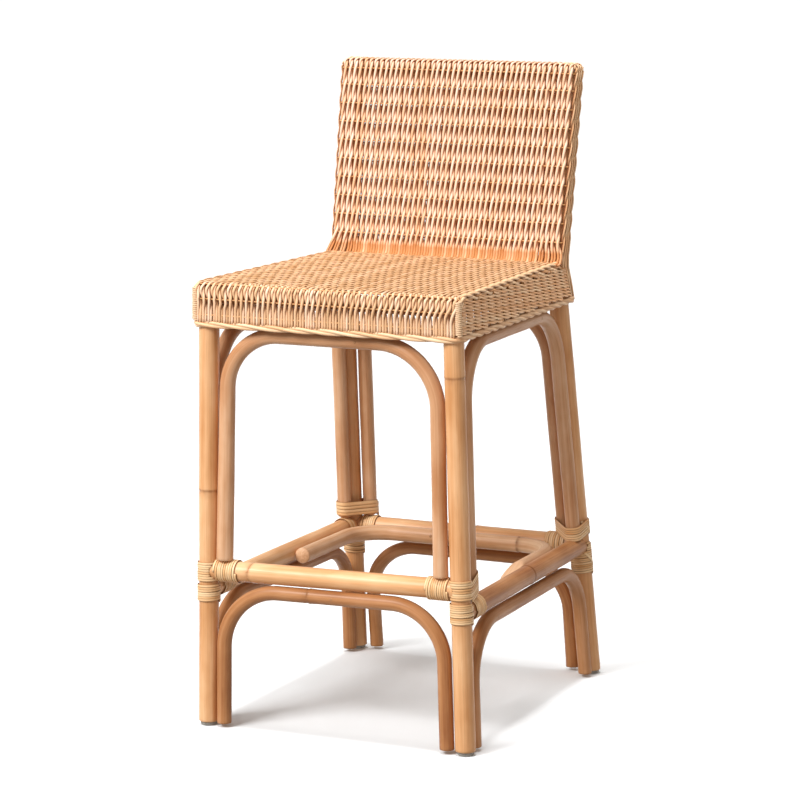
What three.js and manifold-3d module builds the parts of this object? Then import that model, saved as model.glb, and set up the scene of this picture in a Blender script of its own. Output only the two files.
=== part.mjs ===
// Counter-height rattan bar stool with a footrest.
//
// A frame of round rattan poles carries a boxed, woven seat and a thin woven back.
// Millimetres, +Z up, the sitter faces -Y. The feet stand on z = 0 and the origin is
// under the middle of the stool's box.

import * as THREE from 'three';
import { mergeVertices } from 'three/addons/utils/BufferGeometryUtils.js';
import Module from 'manifold-3d';

const wasm = await Module();
wasm.setup();

// ---------------------------------------------------------------- driving dimensions

const ORIGIN_Y = 15.9; // middle of the depth, measured in the legs' own layout
const GAP = 0.35; // air left between neighbours that touch in the real frame

const LEG_R = 14.8;
const REAR_LEG_R = 15.0;
const POLE_FOOT = 5.5; // the poles' lower ends are sawn level at this height
const FRONT_LEG_TOP = 648;
const BACK_POST_TOP = 947;
const BACK_BEND_RADIUS = 170;

const STRETCHER_R = 14.8;
const REAR_STRETCHER_R = 14.5;
const FRONT_STRETCHER_Z = { left: 234.6, right: 239.9 }; // it slopes a little
const SIDE_STRETCHER_Z = { front: 207.0, rear: 209.9 };
const REAR_STRETCHER_Z = 210.8;

const UPPER_ARCH_R = 11.2;
const LOWER_ARCH_R = 10.8;
const ARCH_BEND = 81;
const UPPER_WIDE_BEND = 92; // a little wider at the front right and at the rear
const LOWER_LEFT_BEND = 90;
const UPPER_ARCH_Z = 584.8;
const LOWER_SIDE_ARCH_Z = 179.3;
const LOWER_REAR_ARCH_Z = 178.6;
const LOWER_FRONT_ARCH_Z = { left: 208.2, right: 212.6 };

const BRACE_R = 12.2;
const BRACE_Z = 207.5;
const BRACE_BEND = 62;
const BRACE_END_Y = 12;

const SEAT_TOP = 660;
const SEAT_FRONT = -267;
const SEAT_REAR = 211;
const BORDER_BOTTOM = 594;
const BORDER_TOP = 604;
const BORDER_WIDTH = 8;
const SKIN = 5;
const SEAT_CORNER = 15;
const SEAT_ROLL = 7; // rounding of the seat's upper edge
const FRONT_HALF = { low: 210.6, high: 209 };
const REAR_HALF = { low: 201, high: 187 };

const BACK_TOP = 955;
const BACK_HALF = 192.5;
const BACK_FLARE = 3.5; // the back is this much wider each side at its top
const BACK_DEPTH = 42;
const BACK_FRONT = 161.3; // front face at the height of the seat's top
const BACK_LEAN = 0.166;
const BACK_TUCK = 7.7; // how far the skirt below the seat's top kicks rearwards
const BACK_EDGE = 7;

const SEAT_RAIL_Z = 640;
const FRONT_RAIL_R = 12.3;
const SIDE_RAIL_R = 11;
const LOWER_RAIL_Z = 606.2;
const LOWER_RAIL_R = 9;
const SLAT_R = 6;
const SLAT_X = [-92, 0, 92];
const TOP_RAIL_R = 11.5;
const TOP_RAIL_Z = 936;

const CORNER_POST_R = 5;
const BINDING = 1.5; // thickness of the peel strips wound round a joint
const GLIDE_R = 12;
const GLIDE_THICK = 5.1;

const POLE_SIDES = 16;
const ARCH_SIDES = 12;
const RAIL_SIDES = 12;
const BEND_STEPS = 6;

// ---------------------------------------------------------------- colours

const TONES = {
  leg: 0xd2a06a,
  arch: 0xdcaa80,
  stretcher: 0xd6a374,
  rail: 0xc99a68,
  weave: 0xe2b184,
  border: 0xdba878,
  binding: 0xe0be84,
  glide: 0x9b9a96,
};

function finish(tone) {
  const roughness = tone === 'weave' || tone === 'border' ? 0.6 : 0.42;
  return new THREE.MeshStandardMaterial({ color: TONES[tone], roughness, metalness: 0 });
}

// ---------------------------------------------------------------- solids

function toSolid(geometry) {
  const bare = geometry.clone();
  for (const name of Object.keys(bare.attributes)) {
    if (name !== 'position') bare.deleteAttribute(name);
  }
  const merged = mergeVertices(bare, 1e-4);
  return new wasm.Manifold(
    new wasm.Mesh({
      numProp: 3,
      vertProperties: new Float32Array(merged.attributes.position.array),
      triVerts: new Uint32Array(merged.index.array),
    })
  );
}

function toGeometry(solid) {
  const mesh = solid.getMesh();
  const geometry = new THREE.BufferGeometry();
  geometry.setAttribute('position', new THREE.BufferAttribute(mesh.vertProperties, 3));
  geometry.setIndex(new THREE.BufferAttribute(mesh.triVerts, 1));
  geometry.computeVertexNormals();
  return geometry;
}

// The largest body left after the cutters are taken away; crumbs are dropped.
function cut(geometry, cutters) {
  let solid = toSolid(geometry);
  for (const cutter of cutters) solid = solid.subtract(toSolid(cutter));
  const bodies = solid.decompose();
  bodies.sort((a, b) => b.volume() - a.volume());
  return toGeometry(bodies[0]);
}

function block(x0, x1, y0, y1, z0, z1) {
  const geometry = new THREE.BoxGeometry(x1 - x0, y1 - y0, z1 - z0);
  geometry.translate((x0 + x1) / 2, (y0 + y1) / 2, (z0 + z1) / 2);
  return geometry;
}

function below(z) {
  return block(-400, 400, -500, 500, z - 200, z);
}

// ---------------------------------------------------------------- poles

// A centreline that is stepped through its own stations, so a straight run is one step.
class PoleLine extends THREE.Curve {
  constructor(stations) {
    super();
    this.stations = stations;
    this.steps = stations.length - 1;
  }

  getPoint(t, target = new THREE.Vector3()) {
    const at = t * this.steps;
    const index = Math.min(Math.floor(at + 1e-6), this.steps - 1);
    return target.lerpVectors(this.stations[index], this.stations[index + 1], at - index);
  }

  getPointAt(u, target) {
    return this.getPoint(u, target);
  }

  getTangentAt(u, target = new THREE.Vector3()) {
    const index = Math.round(u * this.steps);
    const last = this.steps;
    const into = this.direction(Math.max(index - 1, 0));
    const out = this.direction(Math.min(index, last - 1));
    return target.copy(into).add(out).normalize();
  }

  direction(index) {
    return this.stations[index + 1].clone().sub(this.stations[index]).normalize();
  }
}

// Straight runs between the corners, each inner corner steam-bent to its own radius.
function bentLine(corners, radii, steps = BEND_STEPS) {
  const stations = [corners[0].clone()];
  radii.forEach((radius, i) => {
    const corner = corners[i + 1];
    const inward = corners[i].clone().sub(corner).normalize();
    const onward = corners[i + 2].clone().sub(corner).normalize();
    const turn = Math.PI - inward.angleTo(onward);
    const middle = inward.clone().add(onward).normalize();
    const centre = corner.clone().addScaledVector(middle, radius / Math.cos(turn / 2));
    const start = corner.clone().addScaledVector(inward, radius * Math.tan(turn / 2));
    const arm = start.sub(centre);
    for (let k = 0; k <= steps; k += 1) {
      const angle = (turn * k) / steps;
      const station = centre.clone().addScaledVector(arm, Math.cos(angle));
      station.addScaledVector(inward, -radius * Math.sin(angle));
      stations.push(station);
    }
  });
  stations.push(corners[corners.length - 1].clone());
  return new PoleLine(stations);
}

function straightLine(from, to) {
  return new PoleLine([from.clone(), to.clone()]);
}

function round(radius, sides) {
  const points = [];
  for (let i = 0; i < sides; i += 1) {
    const angle = ((i + 0.5) / sides) * Math.PI * 2;
    points.push(new THREE.Vector2(radius * Math.cos(angle), radius * Math.sin(angle)));
  }
  return new THREE.Shape(points);
}

function pole(line, radius, sides = POLE_SIDES) {
  return new THREE.ExtrudeGeometry(round(radius, sides), {
    steps: line.steps,
    extrudePath: line,
    bevelEnabled: false,
  });
}

const at = (x, y, z) => new THREE.Vector3(x, y, z);

// ---------------------------------------------------------------- layout of the legs

function frontLegAt(side, z) {
  return at(side * (205.1 - 0.02383 * z), -230.8 - 0.02349 * z, z);
}

function rearLegAt(side, z) {
  return at(side * (201.1 - 0.0384 * z), 284.5 - 0.1614 * z, z);
}

function backPostAt(side, z) {
  return at(side * (176.25 - 0.008 * (z - 647)), 182.3 + BACK_LEAN * (z - 660), z);
}

function beside(point, dx, dy) {
  return at(point.x + Math.sign(point.x) * dx, point.y + dy, point.z);
}

const stool = new THREE.Group();
stool.position.y = -ORIGIN_Y;

function addPiece(name, geometry, tone, position) {
  const mesh = new THREE.Mesh(geometry, finish(tone));
  mesh.name = name;
  if (position) mesh.position.copy(position);
  stool.add(mesh);
}

const SIDES = [
  { word: 'left', sign: -1 },
  { word: 'right', sign: 1 },
];

// ---------------------------------------------------------------- legs and back posts

function frontLegLine(sign) {
  return straightLine(frontLegAt(sign, -20), frontLegAt(sign, FRONT_LEG_TOP));
}

// The rear pole is one piece: a raked leg, a bend at seat height, then the back post.
function rearLegLine(sign) {
  const corners = [
    rearLegAt(sign, -20),
    rearLegAt(sign, 643),
    backPostAt(sign, BACK_POST_TOP),
  ];
  return bentLine(corners, [BACK_BEND_RADIUS]);
}

const legSolids = {};
for (const { word, sign } of SIDES) {
  const front = frontLegLine(sign);
  const rear = rearLegLine(sign);
  addPiece(`front_leg_${word}`, cut(pole(front, LEG_R), [below(POLE_FOOT)]), 'leg');
  addPiece(`rear_leg_${word}`, cut(pole(rear, REAR_LEG_R), [below(POLE_FOOT)]), 'leg');
  legSolids[word] = [
    pole(front, LEG_R + GAP),
    pole(rear, REAR_LEG_R + GAP),
  ];
}
const allLegs = [...legSolids.left, ...legSolids.right];

// Plastic glides nailed under the four legs.
function glideGeometry() {
  const profile = [
    new THREE.Vector2(0, 0),
    new THREE.Vector2(GLIDE_R - 1.2, 0),
    new THREE.Vector2(GLIDE_R, 1.2),
    new THREE.Vector2(GLIDE_R, GLIDE_THICK),
    new THREE.Vector2(0, GLIDE_THICK),
  ];
  const geometry = new THREE.LatheGeometry(profile, 20);
  geometry.rotateX(Math.PI / 2);
  return geometry;
}

for (const { word, sign } of SIDES) {
  addPiece(`glide_front_${word}`, glideGeometry(), 'glide', frontLegAt(sign, 0));
  addPiece(`glide_rear_${word}`, glideGeometry(), 'glide', rearLegAt(sign, 0));
}

// ---------------------------------------------------------------- stretchers

const frontStretcher = straightLine(
  frontLegAt(-1, FRONT_STRETCHER_Z.left),
  frontLegAt(1, FRONT_STRETCHER_Z.right)
);
const rearStretcher = straightLine(
  rearLegAt(-1, REAR_STRETCHER_Z),
  rearLegAt(1, REAR_STRETCHER_Z)
);

function sideStretcher(sign) {
  return straightLine(
    frontLegAt(sign, SIDE_STRETCHER_Z.front),
    rearLegAt(sign, SIDE_STRETCHER_Z.rear)
  );
}

const crossPoles = [
  pole(frontStretcher, STRETCHER_R + GAP),
  pole(rearStretcher, REAR_STRETCHER_R + GAP),
];

addPiece('stretcher_front', cut(pole(frontStretcher, STRETCHER_R), allLegs), 'stretcher');
addPiece('stretcher_rear', cut(pole(rearStretcher, REAR_STRETCHER_R), allLegs), 'stretcher');
for (const { word, sign } of SIDES) {
  const solid = cut(pole(sideStretcher(sign), STRETCHER_R), [
    ...legSolids[word],
    ...crossPoles,
  ]);
  addPiece(`stretcher_${word}`, solid, 'stretcher');
}

// Inner brace: one pole bent to a U that lies against the side and rear stretchers.
function braceLine() {
  const reach = STRETCHER_R + BRACE_R + GAP + 0.15;
  const rearY = rearLegAt(1, REAR_STRETCHER_Z).y - REAR_STRETCHER_R - BRACE_R - GAP;
  const armAt = (sign, y) => {
    const from = frontLegAt(sign, SIDE_STRETCHER_Z.front);
    const to = rearLegAt(sign, SIDE_STRETCHER_Z.rear);
    const along = (y - from.y) / (to.y - from.y);
    const x = from.x + (to.x - from.x) * along;
    return at(x - sign * reach, y, BRACE_Z);
  };
  const corners = [
    armAt(1, BRACE_END_Y),
    armAt(1, rearY),
    armAt(-1, rearY),
    armAt(-1, BRACE_END_Y),
  ];
  return bentLine(corners, [BRACE_BEND, BRACE_BEND]);
}

// The right arm's end is shaved to a long slope where it dies away on the stretcher.
function scarfCutter() {
  const geometry = new THREE.BoxGeometry(60, 120, 40);
  geometry.translate(0, 0, 20);
  geometry.rotateX(0.33);
  geometry.translate(165, BRACE_END_Y - 4, BRACE_Z - 7);
  return geometry;
}

addPiece(
  'inner_brace',
  cut(pole(braceLine(), BRACE_R, ARCH_SIDES), [scarfCutter()]),
  'stretcher'
);

// ---------------------------------------------------------------- hoops under the seat

// A hoop stands on two feet and has a level top; both shoulders are bent.
function hoop(feet, shoulders, radii) {
  return bentLine([feet[0], shoulders[0], shoulders[1], feet[1]], radii);
}

function upperHoopLines() {
  const inFront = (sign, z) => {
    const leg = frontLegAt(sign, z);
    const y = -241.6 + (2.6 * (z - 256)) / 329;
    return at(leg.x - sign * 28.4, y, z);
  };
  const front = hoop(
    [inFront(-1, 252.2), inFront(1, 257)],
    [inFront(-1, UPPER_ARCH_Z), inFront(1, UPPER_ARCH_Z)],
    [ARCH_BEND, UPPER_WIDE_BEND]
  );
  const behind = (sign, z) => beside(rearLegAt(sign, z), -27, 7.5);
  const rear = hoop(
    [behind(-1, 229.6), behind(1, 229.6)],
    [behind(-1, UPPER_ARCH_Z), behind(1, UPPER_ARCH_Z)],
    [ARCH_BEND, ARCH_BEND]
  );
  const atSide = (sign) =>
    hoop(
      [
        beside(frontLegAt(sign, 224.2), 1.6, 26.6),
        beside(rearLegAt(sign, 229), 1.5, -27),
      ],
      [
        beside(frontLegAt(sign, UPPER_ARCH_Z), 1.6, 26.6),
        beside(rearLegAt(sign, UPPER_ARCH_Z), 1.5, -27),
      ],
      [ARCH_BEND, UPPER_WIDE_BEND]
    );
  return { front, rear, left: atSide(-1), right: atSide(1) };
}

function lowerHoopLines() {
  const inFront = (sign, z) => beside(frontLegAt(sign, z), -27.2, -3.4);
  const front = hoop(
    [inFront(-1, POLE_FOOT), inFront(1, POLE_FOOT)],
    [inFront(-1, LOWER_FRONT_ARCH_Z.left), inFront(1, LOWER_FRONT_ARCH_Z.right)],
    [LOWER_LEFT_BEND, ARCH_BEND]
  );
  const rear = hoop(
    [
      beside(rearLegAt(-1, POLE_FOOT), -32, 4),
      beside(rearLegAt(1, POLE_FOOT), -32, 4),
    ],
    [
      beside(rearLegAt(-1, LOWER_REAR_ARCH_Z), -27, 4),
      beside(rearLegAt(1, LOWER_REAR_ARCH_Z), -27, 4),
    ],
    [ARCH_BEND, ARCH_BEND]
  );
  const atSide = (sign) =>
    hoop(
      [
        beside(frontLegAt(sign, POLE_FOOT), 2.2, 26.2),
        beside(rearLegAt(sign, POLE_FOOT), 1, -28.6),
      ],
      [
        beside(frontLegAt(sign, LOWER_SIDE_ARCH_Z), 2.2, 26.2),
        beside(rearLegAt(sign, LOWER_SIDE_ARCH_Z), 1, -26.8),
      ],
      [ARCH_BEND, ARCH_BEND]
    );
  return { front, rear, left: atSide(-1), right: atSide(1) };
}

const upperHoops = upperHoopLines();
const lowerHoops = lowerHoopLines();
for (const word of ['front', 'rear', 'left', 'right']) {
  const upper = pole(upperHoops[word], UPPER_ARCH_R, ARCH_SIDES);
  const lower = pole(lowerHoops[word], LOWER_ARCH_R, ARCH_SIDES);
  addPiece(`upper_arch_${word}`, upper, 'arch');
  addPiece(`lower_arch_${word}`, cut(lower, [below(POLE_FOOT)]), 'arch');
}

// ---------------------------------------------------------------- frame inside the seat

function seatRails() {
  const frontRail = straightLine(frontLegAt(-1, SEAT_RAIL_Z), frontLegAt(1, SEAT_RAIL_Z));
  const rearRail = straightLine(rearLegAt(-1, SEAT_RAIL_Z), rearLegAt(1, SEAT_RAIL_Z));
  const frontSolid = pole(frontRail, FRONT_RAIL_R, RAIL_SIDES);
  const rearSolid = pole(rearRail, FRONT_RAIL_R, RAIL_SIDES);
  const ends = [
    pole(frontRail, FRONT_RAIL_R + GAP, RAIL_SIDES),
    pole(rearRail, FRONT_RAIL_R + GAP, RAIL_SIDES),
  ];
  addPiece('seat_rail_front', cut(frontSolid, allLegs), 'rail');
  addPiece('seat_rail_rear', cut(rearSolid, allLegs), 'rail');
  for (const { word, sign } of SIDES) {
    const line = straightLine(
      beside(frontLegAt(sign, SEAT_RAIL_Z), -1, 0),
      beside(rearLegAt(sign, SEAT_RAIL_Z), -4, 0)
    );
    const solid = cut(pole(line, SIDE_RAIL_R, RAIL_SIDES), [...legSolids[word], ...ends]);
    addPiece(`seat_rail_${word}`, solid, 'rail');
  }
  SLAT_X.forEach((x, i) => {
    const frontY = frontLegAt(1, SEAT_RAIL_Z).y;
    const rearY = rearLegAt(1, SEAT_RAIL_Z).y;
    const line = straightLine(at(x, frontY, 644), at(x, rearY, 644));
    const solid = cut(pole(line, SLAT_R, 10), ends);
    addPiece(`seat_slat_${i + 1}`, solid, 'rail');
  });
}

// Thinner rails lie on the tops of the hoops, where the woven border is tacked.
function lowerRails() {
  const frontRail = straightLine(frontLegAt(-1, LOWER_RAIL_Z), frontLegAt(1, LOWER_RAIL_Z));
  const rearRail = straightLine(rearLegAt(-1, LOWER_RAIL_Z), rearLegAt(1, LOWER_RAIL_Z));
  const ends = [
    pole(frontRail, LOWER_RAIL_R + GAP, RAIL_SIDES),
    pole(rearRail, LOWER_RAIL_R + GAP, RAIL_SIDES),
  ];
  const frontSolid = pole(frontRail, LOWER_RAIL_R, RAIL_SIDES);
  const rearSolid = pole(rearRail, LOWER_RAIL_R, RAIL_SIDES);
  addPiece('lower_rail_front', cut(frontSolid, allLegs), 'rail');
  addPiece('lower_rail_rear', cut(rearSolid, allLegs), 'rail');
  for (const { word, sign } of SIDES) {
    const line = straightLine(frontLegAt(sign, LOWER_RAIL_Z), rearLegAt(sign, LOWER_RAIL_Z));
    const solid = cut(pole(line, LOWER_RAIL_R, RAIL_SIDES), [...legSolids[word], ...ends]);
    addPiece(`lower_rail_${word}`, solid, 'rail');
  }
}

seatRails();
lowerRails();

const topRail = straightLine(backPostAt(-1, TOP_RAIL_Z), backPostAt(1, TOP_RAIL_Z));
addPiece('back_top_rail', cut(pole(topRail, TOP_RAIL_R, RAIL_SIDES), allLegs), 'rail');

// ---------------------------------------------------------------- woven seat and border

// A closed outline with each corner rounded; the corners run anticlockwise.
function roundedOutline(corners, radius, steps = 3) {
  const points = [];
  corners.forEach((corner, i) => {
    const before = corners[(i + corners.length - 1) % corners.length];
    const after = corners[(i + 1) % corners.length];
    const inward = before.clone().sub(corner).normalize();
    const onward = after.clone().sub(corner).normalize();
    const centre = corner.clone().addScaledVector(inward, radius);
    centre.addScaledVector(onward, radius);
    for (let k = 0; k <= steps; k += 1) {
      const angle = (Math.PI / 2) * (k / steps);
      const point = centre.clone().addScaledVector(onward, -radius * Math.cos(angle));
      point.addScaledVector(inward, -radius * Math.sin(angle));
      points.push(point);
    }
  });
  return points;
}

const corner2 = (x, y) => new THREE.Vector2(x, y);

function rectangle(halfWidth, y0, y1) {
  return [
    corner2(-halfWidth, y0),
    corner2(halfWidth, y0),
    corner2(halfWidth, y1),
    corner2(-halfWidth, y1),
  ];
}

function seatHalfWidth(y, z) {
  const back = (y - SEAT_FRONT) / (SEAT_REAR - SEAT_FRONT);
  const up = (z - BORDER_TOP) / (SEAT_TOP - BORDER_TOP);
  const low = THREE.MathUtils.lerp(FRONT_HALF.low, REAR_HALF.low, back);
  const high = THREE.MathUtils.lerp(FRONT_HALF.high, REAR_HALF.high, back);
  return THREE.MathUtils.lerp(low, high, up);
}

// The box narrows to the rear and upwards, so each vertex is drawn in to suit.
function narrow(geometry, wide) {
  const position = geometry.attributes.position;
  for (let i = 0; i < position.count; i += 1) {
    const width = seatHalfWidth(position.getY(i), position.getZ(i));
    position.setX(i, (position.getX(i) * width) / wide);
  }
  return geometry;
}

function seatBlock(inset) {
  const wide = FRONT_HALF.low;
  const roll = SEAT_ROLL - inset;
  const outline = roundedOutline(
    rectangle(wide - inset, SEAT_FRONT + inset, SEAT_REAR + 40),
    SEAT_CORNER - inset
  );
  const foot = BORDER_TOP - 40;
  const height = SEAT_TOP - inset - foot;
  const geometry = new THREE.ExtrudeGeometry(new THREE.Shape(outline), {
    depth: height - 2 * roll,
    bevelThickness: roll,
    bevelSize: roll,
    bevelOffset: -roll,
    bevelSegments: 3,
  });
  geometry.translate(0, 0, foot + roll);
  return narrow(geometry, wide);
}

// Side view of the woven back: a skirt down to the border, then the leaning panel.
function backBlock(inset) {
  const front = BACK_FRONT + inset;
  const rear = BACK_FRONT + BACK_DEPTH - inset;
  const top = BACK_TOP - inset;
  const rise = top - SEAT_TOP;
  const foot = BORDER_TOP - 30;
  const kick = (BACK_TUCK * (SEAT_TOP - foot)) / (SEAT_TOP - BORDER_TOP);
  const edge = BACK_EDGE - Math.min(inset, BACK_EDGE - 2);
  const points = [
    corner2(front + kick, foot),
    corner2(front, SEAT_TOP),
    corner2(front + BACK_LEAN * (rise - edge), top - edge),
    corner2(front + BACK_LEAN * rise + edge * 0.3, top - edge * 0.3),
    corner2(front + BACK_LEAN * rise + edge, top),
    corner2(rear + BACK_LEAN * rise - edge, top),
    corner2(rear + BACK_LEAN * rise - edge * 0.3, top - edge * 0.3),
    corner2(rear + BACK_LEAN * (rise - edge), top - edge),
    corner2(rear, SEAT_TOP),
    corner2(rear + kick, foot),
  ];
  const half = BACK_HALF - inset;
  const geometry = new THREE.ExtrudeGeometry(new THREE.Shape(points), {
    depth: 2 * half - 2 * edge,
    bevelThickness: edge,
    bevelSize: edge,
    bevelOffset: -edge,
    bevelSegments: 3,
  });
  geometry.translate(0, 0, edge - half);
  geometry.rotateY(Math.PI / 2);
  geometry.rotateX(Math.PI / 2);
  const position = geometry.attributes.position;
  for (let i = 0; i < position.count; i += 1) {
    const drop = Math.max(SEAT_TOP - position.getZ(i), 0) / (SEAT_TOP - BORDER_TOP);
    const rise01 = Math.max(position.getZ(i) - SEAT_TOP, 0) / (BACK_TOP - SEAT_TOP);
    const wider = (BACK_HALF + 9 * drop + BACK_FLARE * rise01 - inset) / half;
    position.setX(i, position.getX(i) * wider);
  }
  return geometry;
}

// Everything behind the front face of the back, as a cutter for the seat's skin.
function behindBackFace() {
  const foot = BORDER_TOP - 60;
  const kick = (BACK_TUCK * (SEAT_TOP - foot)) / (SEAT_TOP - BORDER_TOP);
  const shape = new THREE.Shape([
    corner2(BACK_FRONT - GAP + kick, foot),
    corner2(500, foot),
    corner2(500, 760),
    corner2(BACK_FRONT - GAP + BACK_LEAN * (760 - SEAT_TOP), 760),
    corner2(BACK_FRONT - GAP, SEAT_TOP),
  ]);
  const geometry = new THREE.ExtrudeGeometry(shape, { depth: 600, bevelEnabled: false });
  geometry.translate(0, 0, -300);
  geometry.rotateY(Math.PI / 2);
  geometry.rotateX(Math.PI / 2);
  return geometry;
}

function cornerPostLine(sign) {
  return straightLine(
    beside(frontLegAt(sign, BORDER_TOP + GAP), 14.2, -14.6),
    beside(frontLegAt(sign, 651), 14.2, -14.6)
  );
}

const postCutters = SIDES.map(({ sign }) => pole(cornerPostLine(sign), CORNER_POST_R + GAP));
for (const { word, sign } of SIDES) {
  const post = pole(cornerPostLine(sign), CORNER_POST_R, 12);
  addPiece(`corner_post_${word}`, post, 'border');
}

addPiece(
  'seat_weave',
  cut(seatBlock(0), [
    seatBlock(SKIN),
    below(BORDER_TOP + GAP),
    behindBackFace(),
    ...allLegs,
    ...postCutters,
  ]),
  'weave'
);

addPiece(
  'back_weave',
  cut(backBlock(0), [
    backBlock(SKIN),
    below(BORDER_TOP + GAP),
    block(-188, 188, 100, 182, BORDER_TOP - 40, SEAT_TOP - SKIN - 1.5),
    ...allLegs,
  ]),
  'weave'
);

// Plaited border that closes the lower edge of the weave, notched round the poles.
function borderRing() {
  const corners = (inset) => [
    corner2(-FRONT_HALF.low + inset, SEAT_FRONT + inset),
    corner2(FRONT_HALF.low - inset, SEAT_FRONT + inset),
    corner2(REAR_HALF.low - inset, SEAT_REAR - inset),
    corner2(-REAR_HALF.low + inset, SEAT_REAR - inset),
  ];
  const bevel = 2;
  const shape = new THREE.Shape(roundedOutline(corners(0), SEAT_CORNER));
  const hole = roundedOutline(corners(BORDER_WIDTH), SEAT_CORNER - BORDER_WIDTH);
  shape.holes.push(new THREE.Path(hole));
  const geometry = new THREE.ExtrudeGeometry(shape, {
    depth: BORDER_TOP - BORDER_BOTTOM - 2 * bevel,
    bevelThickness: bevel,
    bevelSize: bevel,
    bevelOffset: -bevel,
    bevelSegments: 1,
  });
  geometry.translate(0, 0, BORDER_BOTTOM + bevel);
  return geometry;
}

const upperHoopCutters = Object.values(upperHoops).map((line) =>
  pole(line, UPPER_ARCH_R + GAP, ARCH_SIDES)
);
addPiece('seat_border', cut(borderRing(), [...allLegs, ...upperHoopCutters]), 'border');

// ---------------------------------------------------------------- strip bindings

// Outline of a strip drawn tight round a bundle of poles.
function tightOutline(poles, clearance, sides = 20) {
  const points = [];
  for (let i = 0; i < sides; i += 1) {
    const angle = ((i + 0.5) / sides) * Math.PI * 2;
    const facing = corner2(Math.cos(angle), Math.sin(angle));
    let best = null;
    for (const { centre, radius } of poles) {
      const reach = centre.dot(facing) + radius + clearance;
      if (!best || reach > best.reach) {
        const point = centre.clone().addScaledVector(facing, radius + clearance);
        best = { reach, point };
      }
    }
    points.push(best.point);
  }
  return points;
}

// A band wound round upright poles between two heights, leaning with the first of them.
function uprightBand(lineAt, others, radius, z0, z1) {
  const base = lineAt(z0);
  const top = lineAt(z1);
  const poles = [{ centre: corner2(0, 0), radius }];
  for (const other of others) {
    const point = other.at(z0);
    poles.push({ centre: corner2(point.x - base.x, point.y - base.y), radius: other.radius });
  }
  const shape = new THREE.Shape(tightOutline(poles, GAP + 0.1 + BINDING));
  shape.holes.push(new THREE.Path(tightOutline(poles, GAP + 0.1)));
  const geometry = new THREE.ExtrudeGeometry(shape, { depth: z1 - z0, bevelEnabled: false });
  const leanX = (top.x - base.x) / (z1 - z0);
  const leanY = (top.y - base.y) / (z1 - z0);
  const lean = new THREE.Matrix4().set(1, 0, leanX, 0, 0, 1, leanY, 0, 0, 0, 1, 0, 0, 0, 0, 1);
  geometry.applyMatrix4(lean);
  geometry.translate(base.x, base.y, z0);
  return geometry;
}

// A band wound round one level pole, between two fractions of its length.
function poleBand(line, radius, from, to) {
  const start = line.getPoint(from);
  const end = line.getPoint(to);
  const band = round(radius + GAP + 0.1 + BINDING, 18);
  band.holes.push(new THREE.Path(round(radius + GAP + 0.1, 18).getPoints()));
  const length = start.distanceTo(end);
  const geometry = new THREE.ExtrudeGeometry(band, { depth: length, bevelEnabled: false });
  const facing = end.clone().sub(start).normalize();
  const turn = new THREE.Quaternion().setFromUnitVectors(at(0, 0, 1), facing);
  geometry.applyQuaternion(turn);
  geometry.translate(start.x, start.y, start.z);
  return geometry;
}

function fractionAt(line, axis, value) {
  const [from, to] = line.stations;
  return (value - from[axis]) / (to[axis] - from[axis]);
}

const stretcherCutters = {
  front: pole(frontStretcher, STRETCHER_R + GAP),
  rear: pole(rearStretcher, REAR_STRETCHER_R + GAP),
};

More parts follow.
